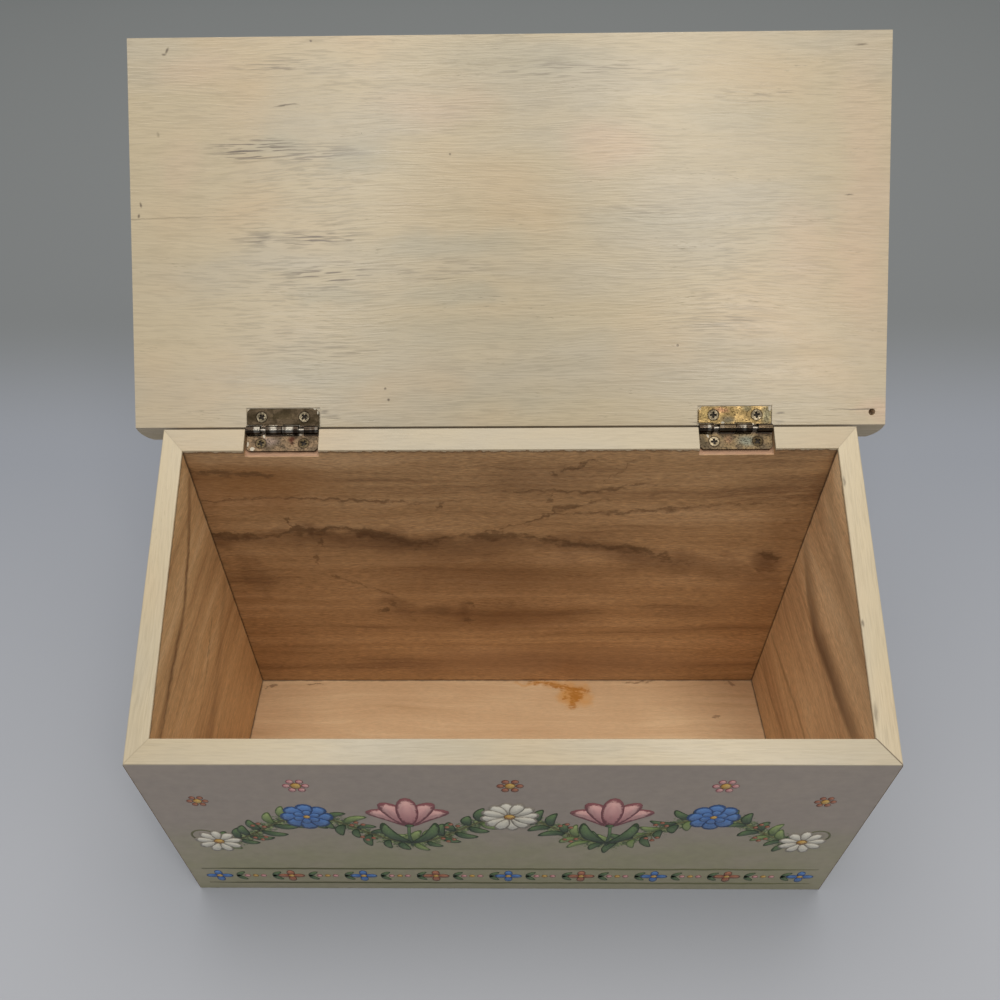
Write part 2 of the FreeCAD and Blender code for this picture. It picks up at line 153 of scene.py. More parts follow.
def streak(tree, place, points, sag):
    # A soft line along the grain. Its points are x, y, half width and strength in order of x, and
    # a colour ramp carries the last three from point to point. It fades out 1.5 mm past each end.
    # Below its middle it reaches sag times as far as above, as stain does on an upright board
    (firstX, *firstRest), (lastX, *lastRest) = points[0], points[-1]
    points = [(firstX - 1.5, *firstRest[:2], 0), *points, (lastX + 1.5, *lastRest[:2], 0)]
    first, last = points[0][0], points[-1][0]
    axes = add(tree, "SeparateXYZ", {0: place})
    along = add(tree, "MapRange", {0: (axes, "X"), 1: first, 2: last})
    ramp = add(tree, "ValToRGB", {0: along})
    stops = ramp.color_ramp.elements
    for number, (x, y, width, strength) in enumerate(points):
        if 0 < number < len(points) - 1:
            stop = stops.new((x - first) / (last - first))
        else:
            stop = stops[0] if number == 0 else stops[-1]
        stop.color = ((y + 100) / 300, width / 10, strength, 1)
    carried = add(tree, "SeparateColor", {"Color": ramp})
    middle = add(tree, "MapRange", {0: (carried, "Red"), 3: -100.0, 4: 200.0})
    above = add(tree, "Math", {0: (axes, "Y"), 1: middle}, operation="SUBTRACT")
    below = add(tree, "Math", {0: above, 1: -1 / sag}, operation="MULTIPLY")
    size = add(tree, "Math", {0: above, 1: below}, operation="MAXIMUM")
    widest = add(tree, "Math", {0: (carried, "Green"), 1: 10.0}, operation="MULTIPLY")
    return add(tree, "MapRange", {0: size, 1: 0.0, 2: widest, 3: (carried, "Blue"), 4: 0.0},
               interpolation_type="SMOOTHSTEP")


def marked(tree, place, ovals=(), streaks=(), sag=1.0):
    # The strongest of several ovals and streaks at each point
    shapes = [oval(tree, place, *spot) for spot in ovals]
    shapes += [streak(tree, place, points, sag) for points in streaks]
    total = shapes[0]
    for shape in shapes[1:]:
        total = add(tree, "Math", {0: total, 1: shape}, operation="MAXIMUM")
    return total


faceUpright = (math.pi / 2, 0, 0)  # front and back boards: grain along X
sideUpright = (math.pi / 2, 0, math.pi / 2)  # side boards: grain along Y
lidLying = (lidAngle, 0, 0)
floorLying = (0, 0, 0)


# Cream paint

creamLook = dict(
    body="c3b394",
    grey="b9af9a",
    warm="cab18d",
    pink="cfb397",
    hazeAndShade="b1a993",
    dash="75695b",
    pore="8d8169",
    speck="57493a",
    seam="4f3c28",
    grainSway=9.0,  # mm that the grain lines bend
    poreLength=2.4,
    poreWidth=0.36,  # drawn coarser than real pores of 0.1 mm, so that they show
    roughness=0.26,
)


def creamPaint(name, turn, origin, seed, blush=(), hazeAndShade=(), dashed=(), marks=(), cracks=(), seams=False,
               shade=1.0, grain=1.0, sheenBands=()):
    # Satin cream emulsion, brushed thin over close-grained wood and rubbed back: the grain's
    # grooves stay open and grey, and a low sheen picks them out. grain is how much of it shows,
    # sheenBands is where most of it does: painted sheen, the grooves drawn darker in the bands
    # where a light's reflection would pick them out
    look = creamLook
    material, tree, shader = newFinish(name, IOR=1.48)
    place = boardPlace(tree, turn, origin)
    sway = figure(tree, place, 110, 34, seed)
    bend = add(tree, "VectorMath", {0: sway, 1: (0, look["grainSway"], 0)}, operation="MULTIPLY")
    grainPlace = add(tree, "VectorMath", {0: place, 1: bend})
    clouds = figure(tree, place, 75, 26, seed + 1, 3.0)
    warmth = figure(tree, place, 60, 45, seed + 2)
    streaks = figure(tree, grainPlace, 60, 2.2, seed + 3, 3.0)
    dashes = figure(tree, grainPlace, 8, 0.42, seed + 4, 1.0, 0.5)
    pores = figure(tree, grainPlace, look["poreLength"], look["poreWidth"], seed + 5, 1.0)
    grooves = figure(tree, grainPlace, 6.5, 0.44, seed + 6, 1.0, 0.5)
    thinness = figure(tree, place, 46, 30, seed + 12, 2.0)
    clumps = figure(tree, grainPlace, 22, 6, seed + 7, 2.0)

    greyShare = add(tree, "MapRange", {0: clouds, 1: 0.42, 2: 0.68, 3: 0.0, 4: 0.7},
                    interpolation_type="SMOOTHSTEP")
    colour = paintOver(tree, linear(look["body"]), greyShare, linear(look["grey"]))
    warmShare = add(tree, "MapRange", {0: warmth, 1: 0.48, 2: 0.7, 3: 0.0, 4: 0.6},
                    interpolation_type="SMOOTHSTEP")
    colour = paintOver(tree, colour, warmShare, linear(look["warm"]))
    if blush:
        blushShare = marked(tree, wander(tree, place, 18, (16, 12, 0), seed + 8), blush)
        colour = paintOver(tree, colour, blushShare, linear(look["pink"]))
    # The haze ovals lay grey smudges in the paint, and over the lid's top middle, painted shade
    if hazeAndShade:
        hazeAndShadeShare = marked(tree, wander(tree, place, 12, (22, 6, 0), seed + 9), hazeAndShade)
        colour = paintOver(tree, colour, hazeAndShadeShare, linear(look["hazeAndShade"]))
    # shade draws this cream darker or lighter: painted shade and light on the same paint
    band = add(tree, "MapRange", {0: streaks, 1: 0.3, 2: 0.7, 3: 0.98 * shade, 4: 1.015 * shade})
    # The paint is thinner in some places, and there every groove of the grain is a fine grey line
    bared = add(tree, "MapRange", {0: thinness, 1: 0.4, 2: 0.62})
    # In the sheen bands the grooves are drawn darker: painted sheen, where a light's reflection would pick them out
    if sheenBands:
        sheenZone = marked(tree, wander(tree, place, 30, (30, 20, 0), seed + 13), sheenBands)
        most = add(tree, "MapRange", {0: sheenZone, 3: 0.3, 4: 1.15})
        bared = add(tree, "Math", {0: bared, 1: most}, operation="MULTIPLY")
    lineDepth = add(tree, "MapRange", {0: bared, 2: 1.15, 3: 1 - 0.03 * grain, 4: 1 - 0.24 * grain})
    fine = add(tree, "MapRange", {0: grooves, 1: 0.5, 2: 0.6, 3: 1 + 0.03 * grain, 4: lineDepth})
    both = add(tree, "Math", {0: band, 1: fine}, operation="MULTIPLY")
    colour = add(tree, "Mix", {"Factor": 1.0, "A": colour, "B": both}, data_type="RGBA",
                 blend_type="MULTIPLY")

    thin = add(tree, "MapRange", {0: clumps, 1: 0.5, 2: 0.72, 3: 0.1 * grain, 4: 0.6 * grain},
               interpolation_type="SMOOTHSTEP")
    openGrain = add(tree, "MapRange", {0: dashes, 1: 0.52, 2: 0.6}, interpolation_type="SMOOTHSTEP")
    dashShare = add(tree, "Math", {0: openGrain, 1: 0.07}, operation="MULTIPLY")
    if dashed:
        worn = marked(tree, wander(tree, place, 6, (9, 1.6, 0), seed + 10), dashed)
        wornGrain = add(tree, "Math", {0: openGrain, 1: worn}, operation="MULTIPLY")
        dashShare = add(tree, "Math", {0: wornGrain, 1: dashShare}, operation="MAXIMUM")
    colour = paintOver(tree, colour, dashShare, linear(look["dash"]))
    openPores = add(tree, "MapRange", {0: pores, 1: 0.6, 2: 0.74}, interpolation_type="SMOOTHSTEP")
    poreShare = add(tree, "Math", {0: openPores, 1: thin}, operation="MULTIPLY")
    colour = paintOver(tree, colour, poreShare, linear(look["pore"]))

    cells = add(tree, "TexVoronoi", {"Vector": place, "Scale": 1 / 8})
    lucky = add(tree, "SeparateColor", {"Color": (cells, "Color")})
    speckSize = add(tree, "MapRange", {0: lucky, 1: 0.66, 2: 1.0, 3: 0.0, 4: 0.048})
    speck = add(tree, "Math", {0: cells, 1: speckSize}, operation="LESS_THAN")
    speckShare = add(tree, "Math", {0: speck, 1: 0.6}, operation="MULTIPLY")
    colour = paintOver(tree, colour, speckShare, linear(look["speck"]))
    if marks or cracks:
        drawn = marked(tree, wander(tree, place, 2.2, (0.8, 0.9, 0), seed + 11), marks, cracks)
        colour = paintOver(tree, colour, drawn, linear(look["speck"]))
    if seams:
        colour = paintOver(tree, colour, mitreSeam(tree), linear(look["seam"]))
    tree.links.new(colour.outputs[2], shader.inputs["Base Color"])

    matt = add(tree, "MapRange", {0: streaks, 1: 0.3, 2: 0.7, 3: look["roughness"] - 0.04,
                                  4: look["roughness"] + 0.06})
    tree.links.new(matt.outputs[0], shader.inputs["Roughness"])
    ridges = add(tree, "Math", {0: streaks, 1: 0.3, 2: grooves}, operation="MULTIPLY_ADD")
    relief = add(tree, "Math", {0: poreShare, 1: -0.5, 2: ridges}, operation="MULTIPLY_ADD")
    bump = add(tree, "Bump", {"Height": relief, "Strength": 0.2 + 0.3 * grain, "Distance": 0.11 * mm})
    tree.links.new(bump.outputs[0], shader.inputs["Normal"])
    return material


def mitreSeam(tree):
    # The thin brown line where two boards meet on the rim, most open at the front right corner
    spot = add(tree, "TexCoord")
    size = add(tree, "VectorMath", {0: (spot, "Object")}, operation="ABSOLUTE")
    axes = add(tree, "SeparateXYZ", {0: size})
    across = add(tree, "Math", {0: (axes, "X"), 1: (axes, "Y")}, operation="SUBTRACT")
    off = add(tree, "Math", {0: across, 1: (insideX - insideY) * mm}, operation="SUBTRACT")
    gap = add(tree, "Math", {0: off}, operation="ABSOLUTE")
    close = add(tree, "MapRange", {0: gap, 1: 0.1 * mm, 2: 0.3 * mm, 3: 1.0, 4: 0.0})
    corner = add(tree, "VectorMath", {0: (spot, "Object"), 1: (1, -1.5, 0)}, operation="DOT_PRODUCT")
    opened = add(tree, "MapRange", {0: (corner, "Value"), 1: 60 * mm, 2: 130 * mm, 3: 0.18, 4: 0.85})
    return add(tree, "Math", {0: close, 1: opened}, operation="MULTIPLY")


# Bare wood

bareLook = dict(
    grainSway=14.0,
    fibreLength=2.8,
    fibreWidth=0.33,  # drawn coarser than real fibres, so that they show
    roughness=0.6,
    paint="c2b294",  # cream that crept over the arris
    shadeAndDirt="2c1c10",
    creep=0.85,  # mm
)


def bareWood(name, turn, seed, tones, marks=(), bandWidth=7.5, climb=None, drift=(1, 1), silkiness=0.2,
             where="wall"):
    # Planed close-grained wood with one coat of thin brown stain: silky along the grain, with
    # wavy darker bands where it soaked in. tones are dark, middle and light. climb gives the
    # painted shade and light at the foot and the head of a wall, drift that at its left and right ends.
    # where is wall, floor or recess, for the painted shade and dirt in its corners
    look = bareLook
    material, tree, shader = newFinish(name, IOR=1.5)
    place = boardPlace(tree, turn)
    sway = figure(tree, place, 85, 26, seed, 3.0)
    bend = add(tree, "VectorMath", {0: sway, 1: (0, look["grainSway"], 0)}, operation="MULTIPLY")
    grainPlace = add(tree, "VectorMath", {0: place, 1: bend})
    bands = figure(tree, grainPlace, 130, bandWidth, seed + 1, 3.0, 0.6)
    lines = figure(tree, grainPlace, 70, 1.3, seed + 2, 3.0, 0.6)
    fibres = figure(tree, grainPlace, look["fibreLength"], look["fibreWidth"], seed + 3, 2.0, 0.7)
    blotch = figure(tree, place, 40, 22, seed + 4, 3.0)
    flecks = figure(tree, grainPlace, 2.6, 0.42, seed + 5, 1.0)

    depth = add(tree, "Math", {0: bands, 1: 0.5, 2: 0.0}, operation="MULTIPLY_ADD")
    depth = add(tree, "Math", {0: lines, 1: 0.24, 2: depth}, operation="MULTIPLY_ADD")
    depth = add(tree, "Math", {0: blotch, 1: 0.28, 2: depth}, operation="MULTIPLY_ADD")
    lightShare = add(tree, "MapRange", {0: depth, 1: 0.5, 2: 0.64}, interpolation_type="SMOOTHSTEP")
    darkShare = add(tree, "MapRange", {0: depth, 1: 0.52, 2: 0.38}, interpolation_type="SMOOTHSTEP")
    colour = paintOver(tree, linear(tones[1]), lightShare, linear(tones[2]))
    colour = paintOver(tree, colour, darkShare, linear(tones[0]))
    silk = add(tree, "MapRange", {0: fibres, 1: 0.35, 2: 0.65, 3: 1 - silkiness, 4: 1 + silkiness})
    # Painted shade and light: the wood drawn brighter or darker towards a wall's foot, head and ends, as the light
    # falls on it
    if climb:
        axes = add(tree, "SeparateXYZ", {0: place})
        height = add(tree, "MapRange", {0: (axes, "Y"), 1: 4.0, 2: backHigh.z, 3: climb[0], 4: climb[1]})
        sideways = add(tree, "MapRange", {0: (axes, "X"), 1: -insideX, 2: insideX, 3: drift[0], 4: drift[1]})
        silk = add(tree, "Math", {0: silk, 1: height}, operation="MULTIPLY")
        silk = add(tree, "Math", {0: silk, 1: sideways}, operation="MULTIPLY")
    colour = add(tree, "Mix", {"Factor": 1.0, "A": colour, "B": silk}, data_type="RGBA",
                 blend_type="MULTIPLY")
    fleckShare = add(tree, "MapRange", {0: flecks, 1: 0.6, 2: 0.76, 3: 0.0, 4: 2 * silkiness})
    colour = paintOver(tree, colour, fleckShare, linear(tones[0]))
    glintShare = add(tree, "MapRange", {0: flecks, 1: 0.4, 2: 0.28, 3: 0.0, 4: 2.4 * silkiness})
    colour = paintOver(tree, colour, glintShare, linear(tones[2]))
    for mark in marks:
        size, along, across = mark["uneven"]
        soaked = marked(tree, wander(tree, place, size, (along, across, 0), seed + 6),
                        mark.get("ovals", ()), mark.get("streaks", ()), mark.get("sag", 1.0))
        if mark.get("ragged"):
            # The stain stops at single fibres, so it breaks up instead of fading
            rag = figure(tree, place, 3.0, 1.1, seed + 7, 4.0, 0.7)
            level = add(tree, "Math", {0: soaked, 1: 1.2, 2: -2.3}, operation="MULTIPLY_ADD")
            level = add(tree, "Math", {0: fibres, 1: 2.4, 2: level}, operation="MULTIPLY_ADD")
            level = add(tree, "Math", {0: rag, 1: 2.2, 2: level}, operation="MULTIPLY_ADD")
            broken = add(tree, "MapRange", {0: level, 1: 0.3, 2: 1.1, 3: 0.0, 4: mark["ragged"]},
                         interpolation_type="SMOOTHSTEP")
            inside = add(tree, "MapRange", {0: soaked, 1: 0.0, 2: 0.25})
            soaked = add(tree, "Math", {0: broken, 1: inside}, operation="MULTIPLY")
        colour = paintOver(tree, colour, soaked, linear(mark["ink"]))

    if where != "recess":
        # Painted shade and dirt along the inner corners
        colour = paintOver(tree, colour, cornerShade(tree, place, where), linear(look["shadeAndDirt"]))
    if where == "wall":
        spot = add(tree, "TexCoord")
        up = add(tree, "VectorMath", {0: (spot, "Object"), 1: rimUp / mm}, operation="DOT_PRODUCT")
        rag = figure(tree, place, 2.2, 2.2, seed + 8, 4.0, 0.65)
        edge = add(tree, "Math", {0: rag, 1: 2.4 * look["creep"], 2: (up, "Value")},
                   operation="MULTIPLY_ADD")
        painted = add(tree, "MapRange", {0: edge, 1: rimHeight + 0.55 * look["creep"],
                                         2: rimHeight + 0.75 * look["creep"]})
        # shaded: a thin dark line of painted shade just under the cream's ragged edge
        shaded = add(tree, "MapRange", {0: edge, 1: rimHeight - 0.1 * look["creep"],
                                        2: rimHeight + 0.5 * look["creep"], 3: 0.0, 4: 0.6})
        colour = paintOver(tree, colour, shaded, linear(look["shadeAndDirt"]))
        colour = paintOver(tree, colour, painted, linear(look["paint"]))
    tree.links.new(colour.outputs[2], shader.inputs["Base Color"])
    matt = add(tree, "MapRange", {0: fibres, 3: look["roughness"] - 0.08, 4: look["roughness"] + 0.08})
    tree.links.new(matt.outputs[0], shader.inputs["Roughness"])
    bump = add(tree, "Bump", {"Height": fibres, "Strength": 0.5, "Distance": 0.14 * mm})
    tree.links.new(bump.outputs[0], shader.inputs["Normal"])
    return material


def cornerShade(tree, place, where):
    # Painted shade with dirt and old glue in the inner corners: 1 in the corner, gone within a millimetre
    spot = add(tree, "TexCoord")
    uneven = figure(tree, place, 4, 4, 40, 4.0, 0.65)
    reach = add(tree, "MapRange", {0: uneven, 1: 0.3, 2: 0.7, 3: 0.2 * mm, 4: 0.95 * mm})
    size = add(tree, "VectorMath", {0: (spot, "Object")}, operation="ABSOLUTE")
    axes = add(tree, "SeparateXYZ", {0: size})
    nearX = add(tree, "Math", {0: insideX * mm, 1: (axes, "X")}, operation="SUBTRACT")
    nearY = add(tree, "Math", {0: insideY * mm, 1: (axes, "Y")}, operation="SUBTRACT")
    if where == "floor":
        near = add(tree, "Math", {0: nearX, 1: nearY}, operation="MINIMUM")
    else:
        # One of the two is zero all over a wall, so its upright corner is where the larger is small
        upright = add(tree, "Math", {0: nearX, 1: nearY}, operation="MAXIMUM")
        foot = add(tree, "Math", {0: (axes, "Z"), 1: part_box("bottom_panel")[1].z}, operation="SUBTRACT")
        near = add(tree, "Math", {0: upright, 1: foot}, operation="MINIMUM")
    return add(tree, "MapRange", {0: near, 1: reach, 2: 0.0, 3: 0.0, 4: 0.8})


# Outer paint

washLook = dict(
    upper="a09387",
    lower="9d9779",
    cloud="ac9d8d",
    turnHeight=34.0,  # mm above the table where the two colours meet
    blur=26.0,
    edge="c4b69c",
    edgeWear=0.5,  # mm of paler paint along the upright arrises
    roughness=0.5,
)
garland = dict(
    reach=88.0,  # mm either way from the middle
    height=41.5,
    swing=8.0,
    wave=56.0,
)
leafGreens = dict(dark="3c4a2c", middle="66774a", light="98a368")


def washPaint(name, turn, seed, leafy=False, corners=True):
    # Two thinned emulsion washes, pinkish grey above and olive yellow below, dabbed together
    # with a sponge: soft clouds, no grain, and paler where it has rubbed at the box's corners
    look = washLook
    material, tree, shader = newFinish(name, IOR=1.48)
    place = boardPlace(tree, turn)
    axes = add(tree, "SeparateXYZ", {0: place})
    clouds = figure(tree, place, 22, 14, seed, 4.0, 0.6)
    dabs = figure(tree, place, 3.2, 2.6, seed + 1, 3.0, 0.6)
    height = add(tree, "Math", {0: clouds, 1: look["blur"], 2: (axes, "Y")}, operation="MULTIPLY_ADD")
    low = look["turnHeight"] + look["blur"] * 0.5 - look["blur"] * 0.6
    share = add(tree, "MapRange", {0: height, 1: low, 2: low + look["blur"] * 1.2},
                interpolation_type="SMOOTHSTEP")
    colour = paintOver(tree, linear(look["lower"]), share, linear(look["upper"]))
    cloudShare = add(tree, "MapRange", {0: clouds, 1: 0.45, 2: 0.75, 3: 0.0, 4: 0.5})
    colour = paintOver(tree, colour, cloudShare, linear(look["cloud"]))
    mottle = add(tree, "MapRange", {0: dabs, 1: 0.3, 2: 0.7, 3: 0.93, 4: 1.06})
    colour = add(tree, "Mix", {"Factor": 1.0, "A": colour, "B": mottle}, data_type="RGBA",
                 blend_type="MULTIPLY")
    if leafy:
        shares = spongedLeaves(tree, place, axes, seed)
        for share, green in zip(shares, ("middle", "dark", "light")):
            colour = paintOver(tree, colour, share, linear(leafGreens[green]))
    if corners:
        spot = add(tree, "TexCoord")
        size = add(tree, "VectorMath", {0: (spot, "Object")}, operation="ABSOLUTE")
        outer = add(tree, "SeparateXYZ", {0: size})
        nearX = add(tree, "Math", {0: -leftLow.x * mm, 1: (outer, "X")}, operation="SUBTRACT")
        nearY = add(tree, "Math", {0: -frontLow.y * mm, 1: (outer, "Y")}, operation="SUBTRACT")
        arris = add(tree, "Math", {0: nearX, 1: nearY}, operation="MAXIMUM")
        worn = add(tree, "MapRange", {0: dabs, 1: 0.4, 2: 0.6, 3: 0.3 * look["edgeWear"] * mm,
                                      4: look["edgeWear"] * mm})
        edgeShare = add(tree, "MapRange", {0: arris, 1: worn, 2: 0.0, 3: 0.0, 4: 0.55})
        colour = paintOver(tree, colour, edgeShare, linear(look["edge"]))
    tree.links.new(colour.outputs[2], shader.inputs["Base Color"])
    matt = add(tree, "MapRange", {0: dabs, 3: look["roughness"] - 0.06, 4: look["roughness"] + 0.08})
    tree.links.new(matt.outputs[0], shader.inputs["Roughness"])
    brushed = figure(tree, place, 18, 0.8, seed + 3, 2.0)
    bump = add(tree, "Bump", {"Height": brushed, "Strength": 0.3, "Distance": 0.12 * mm})
    tree.links.new(bump.outputs[0], shader.inputs["Normal"])
    return material


def spongedLeaves(tree, place, axes, seed):
    # Sponge dabs in three greens that follow the garland: middle, dark and light shares
    phase = add(tree, "Math", {0: (axes, "X"), 1: 2 * math.pi / garland["wave"]}, operation="MULTIPLY")
    wave = add(tree, "Math", {0: phase}, operation="COSINE")
    level = add(tree, "Math", {0: wave, 1: garland["swing"], 2: garland["height"]},
                operation="MULTIPLY_ADD")
    off = add(tree, "Math", {0: (axes, "Y"), 1: level}, operation="SUBTRACT")
    away = add(tree, "Math", {0: off}, operation="ABSOLUTE")
    near = add(tree, "MapRange", {0: away, 1: 1.0, 2: 9.5, 3: 0.34, 4: -0.1})
    side = add(tree, "Math", {0: (axes, "X")}, operation="ABSOLUTE")
    ends = add(tree, "MapRange", {0: side, 1: garland["reach"] - 9, 2: garland["reach"], 3: 0.9, 4: 0.0})
    shares = []
    for number, (size, start) in enumerate(((1.5, 0.72), (1.1, 0.76), (0.9, 0.82))):
        dabs = figure(tree, place, size, 0.85 * size, seed + 20 + number, 3.0, 0.7)
        level = add(tree, "Math", {0: dabs, 1: near})
        dabbed = add(tree, "MapRange", {0: level, 1: start, 2: start + 0.07})
        shares.append(add(tree, "Math", {0: dabbed, 1: ends}, operation="MULTIPLY"))
    return shares


# Aged metal

def agedBrass(name, seed, tones, roughness=0.36, stains=(), flecks=(), heads=(), speckle=1.0):
    # Rolled brass sheet, lacquer long gone: dull and finely speckled, its knuckles darker with
    # tarnish and painted shade, with stains of tarnish, a few flecks of cream paint and a dark ring
    # of painted shade round each screw.
    # tones are bright, dull and dark; heads are the middle and radius of each screw's head
    material, tree, shader = newFinish(name)
    place = boardPlace(tree, lidLying, pivot)
    large = figure(tree, place, 4.0, 3.0, seed, 4.0, 0.6)
    fine = figure(tree, place, 0.55, 0.45, seed + 1, 3.0, 0.65)
    grit = figure(tree, place, 0.3, 0.26, seed + 2, 2.0, 0.6)
    dullShare = add(tree, "MapRange", {0: large, 1: 0.42, 2: 0.6}, interpolation_type="SMOOTHSTEP")
    colour = paintOver(tree, linear(tones[0]), dullShare, linear(tones[1]))
    for spots, stainHex in stains:
        stained = marked(tree, wander(tree, place, 1.2, (0.9, 0.9, 0), seed + 3), spots)
        colour = paintOver(tree, colour, stained, linear(stainHex))
    pits = add(tree, "MapRange", {0: fine, 1: 0.5, 2: 0.66, 3: 0.0, 4: 0.75 * speckle})
    colour = paintOver(tree, colour, pits, linear(tones[2]))
    sparkle = add(tree, "MapRange", {0: grit, 1: 0.3, 2: 0.7, 3: 1 - 0.28 * speckle, 4: 1 + 0.3 * speckle})
    colour = add(tree, "Mix", {"Factor": 1.0, "A": colour, "B": sparkle}, data_type="RGBA",
                 blend_type="MULTIPLY")
    # The barrel is painted darker: tarnish, and painted shade for the dark inside of the box that
    # it reflects; the patches along it stand in for the knuckles that do and don't catch a highlight
    fromPin = add(tree, "VectorMath", {0: place, 1: (0, 1, 1)}, operation="MULTIPLY")
    radius = add(tree, "VectorMath", {0: fromPin}, operation="LENGTH")
    barrel = add(tree, "MapRange", {0: (radius, "Value"), 1: 1.7, 2: 1.35, 3: 0.0, 4: 0.93})
    along = figure(tree, place, 5, 40, seed + 5, 2.0, 0.6)
    tarnishAndShade = add(tree, "MapRange", {0: along, 1: 0.42, 2: 0.5}, interpolation_type="SMOOTHSTEP")
    barrelShadeTone = paintOver(tree, linear("8b867c"), tarnishAndShade, linear("352d26"))
    colour = paintOver(tree, colour, barrel, barrelShadeTone)
    # A dark ring of painted shade round each screw head, where the gap round the head lies in shadow
    for middle, headRadius in heads:
        spot = add(tree, "TexCoord")
        far = add(tree, "VectorMath", {0: (spot, "Object"), 1: middle}, operation="DISTANCE")
        ring = add(tree, "MapRange", {0: (far, "Value"), 1: headRadius + 0.42 * mm,
                                      2: headRadius + 0.08 * mm, 3: 0.0, 4: 0.85})
        colour = paintOver(tree, colour, ring, linear("1d1610"))
    if flecks:
        paint = marked(tree, wander(tree, place, 0.8, (0.5, 0.5, 0), seed + 4), flecks)
        stuck = add(tree, "MapRange", {0: paint, 1: 0.3, 2: 0.42})
        colour = paintOver(tree, colour, stuck, linear(creamLook["grey"]))
        metal = add(tree, "Math", {0: 1.0, 1: stuck}, operation="SUBTRACT")
        tree.links.new(metal.outputs[0], shader.inputs["Metallic"])
    else:
        shader.inputs["Metallic"].default_value = 1.0
    tree.links.new(colour.outputs[2], shader.inputs["Base Color"])
    mattWhere = add(tree, "Math", {0: dullShare, 1: 0.4, 2: pits}, operation="MULTIPLY_ADD")
    mattWhere = add(tree, "Math", {0: mattWhere, 1: barrel}, operation="SUBTRACT")
    matt = add(tree, "MapRange", {0: mattWhere, 1: -0.5, 2: 1.0, 3: roughness - 0.22, 4: roughness + 0.25})
    tree.links.new(matt.outputs[0], shader.inputs["Roughness"])
    height = add(tree, "Math", {0: pits, 1: -1.0, 2: grit}, operation="MULTIPLY_ADD")
    bump = add(tree, "Bump", {"Height": height, "Strength": 0.3, "Distance": 0.03 * mm})
    tree.links.new(bump.outputs[0], shader.inputs["Normal"])
    return material


def drawnSteel(name):
    # Drawn steel wire, dull grey with brown in its fine draw marks
    material, tree, shader = newFinish(name, Metallic=1.0)
    place = boardPlace(tree, floorLying)
    marksAlong = figure(tree, place, 4.0, 0.1, 70, 2.0)
    colour = paintOver(tree, linear("5f564a"), marksAlong, linear("b3aca0"))
    tree.links.new(colour.outputs[2], shader.inputs["Base Color"])
    matt = add(tree, "MapRange", {0: marksAlong, 3: 0.22, 4: 0.42})
    tree.links.new(matt.outputs[0], shader.inputs["Roughness"])
    return material


def darkCrossFinish(name):
    # The cross of an old screw: nearly black, matt and crumbly
    material, tree, shader = newFinish(name, Roughness=0.85)
    place = boardPlace(tree, floorLying)
    crumbs = figure(tree, place, 0.25, 0.25, 75, 2.0)
    colour = paintOver(tree, linear("17120c"), crumbs, linear("3b3022"))
    tree.links.new(colour.outputs[2], shader.inputs["Base Color"])
    return material


print("shader helpers ready")


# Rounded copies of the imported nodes

def roundedCopy(node, rounding, segments, sharpest, skip=None):
    # The node's own shape with its edges eased; skip leaves out edges such as those of a mitre
    shape = bmesh.new()
    shape.from_mesh(frame["nodes"][node].data)
    bmesh.ops.remove_doubles(shape, verts=shape.verts, dist=0.001 * mm)
    bmesh.ops.dissolve_limit(shape, angle_limit=math.radians(0.4), verts=shape.verts, edges=shape.edges)
    edges = [e for e in shape.edges if e.is_manifold and e.calc_face_angle() > math.radians(sharpest)]
    if skip:
        edges = [e for e in edges if not skip(e)]
    bmesh.ops.bevel(shape, geom=edges, offset=rounding * mm, offset_type="OFFSET", segments=segments,
                    profile=0.5, material=-1, affect="EDGES", clamp_overlap=True)
    bmesh.ops.recalc_face_normals(shape, faces=shape.faces)
    return shape


def finishPiece(shape, name, body, materials, nodes=(), sharp=32):
    mesh = bpy.data.meshes.new(name)
    shape.to_mesh(mesh)
    shape.free()
    mesh.shade_smooth()
    mesh.set_sharp_from_angle(angle=math.radians(sharp))
    for material in materials:
        mesh.materials.append(material)
    piece = bpy.data.objects.new(name, mesh)
    scene.collection.objects.link(piece)
    if nodes:
        weighted = piece.modifiers.new("even shading", "WEIGHTED_NORMAL")
        weighted.keep_sharp = True
        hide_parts(*nodes)
    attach(piece, body)
    return piece


# The four walls

wallShape = dict(
    rounding=0.35,
    segments=3,
    rimReach=0.5,  # mm round the rim's arrises that carry cream paint
    paintRoom=0.1,  # mm that the front face is set back, so that the painting fits in front of it
)


def isMitre(edge):
    # Mitre faces run at 45 degrees across the corners; none of their edges is eased
    for face in edge.link_faces:
        normal = face.normal
        if abs(abs(normal.x) - abs(normal.y)) < 0.02 and abs(normal.z) < 0.1:
            return True
    return False


def isRebate(edge):
    return all(vert.co.z < 4 * mm for vert in edge.verts) and not all(
        vert.co.z < 0.1 * mm for vert in edge.verts)


def paintWall(shape):
    # 0 cream on the rim, 1 stained wood inside, 2 wash outside, 3 fresh wood in the hinge recesses
    for face in shape.faces:
        centre = face.calc_center_median() / mm
        below = rimHeight - rimUp.dot(centre)
        outside = abs(centre.x) > -leftLow.x - 0.4 or abs(centre.y) > backHigh.y - 0.4
        if below < wallShape["rimReach"]:
            face.material_index = 0
        elif outside and centre.z > 0.05:
            face.material_index = 2
        elif below < 3 and abs(centre.x) < insideX and centre.y > insideY + 0.2:
            face.material_index = 3 if abs(face.normal.x) < 0.5 else 1
        else:
            face.material_index = 1


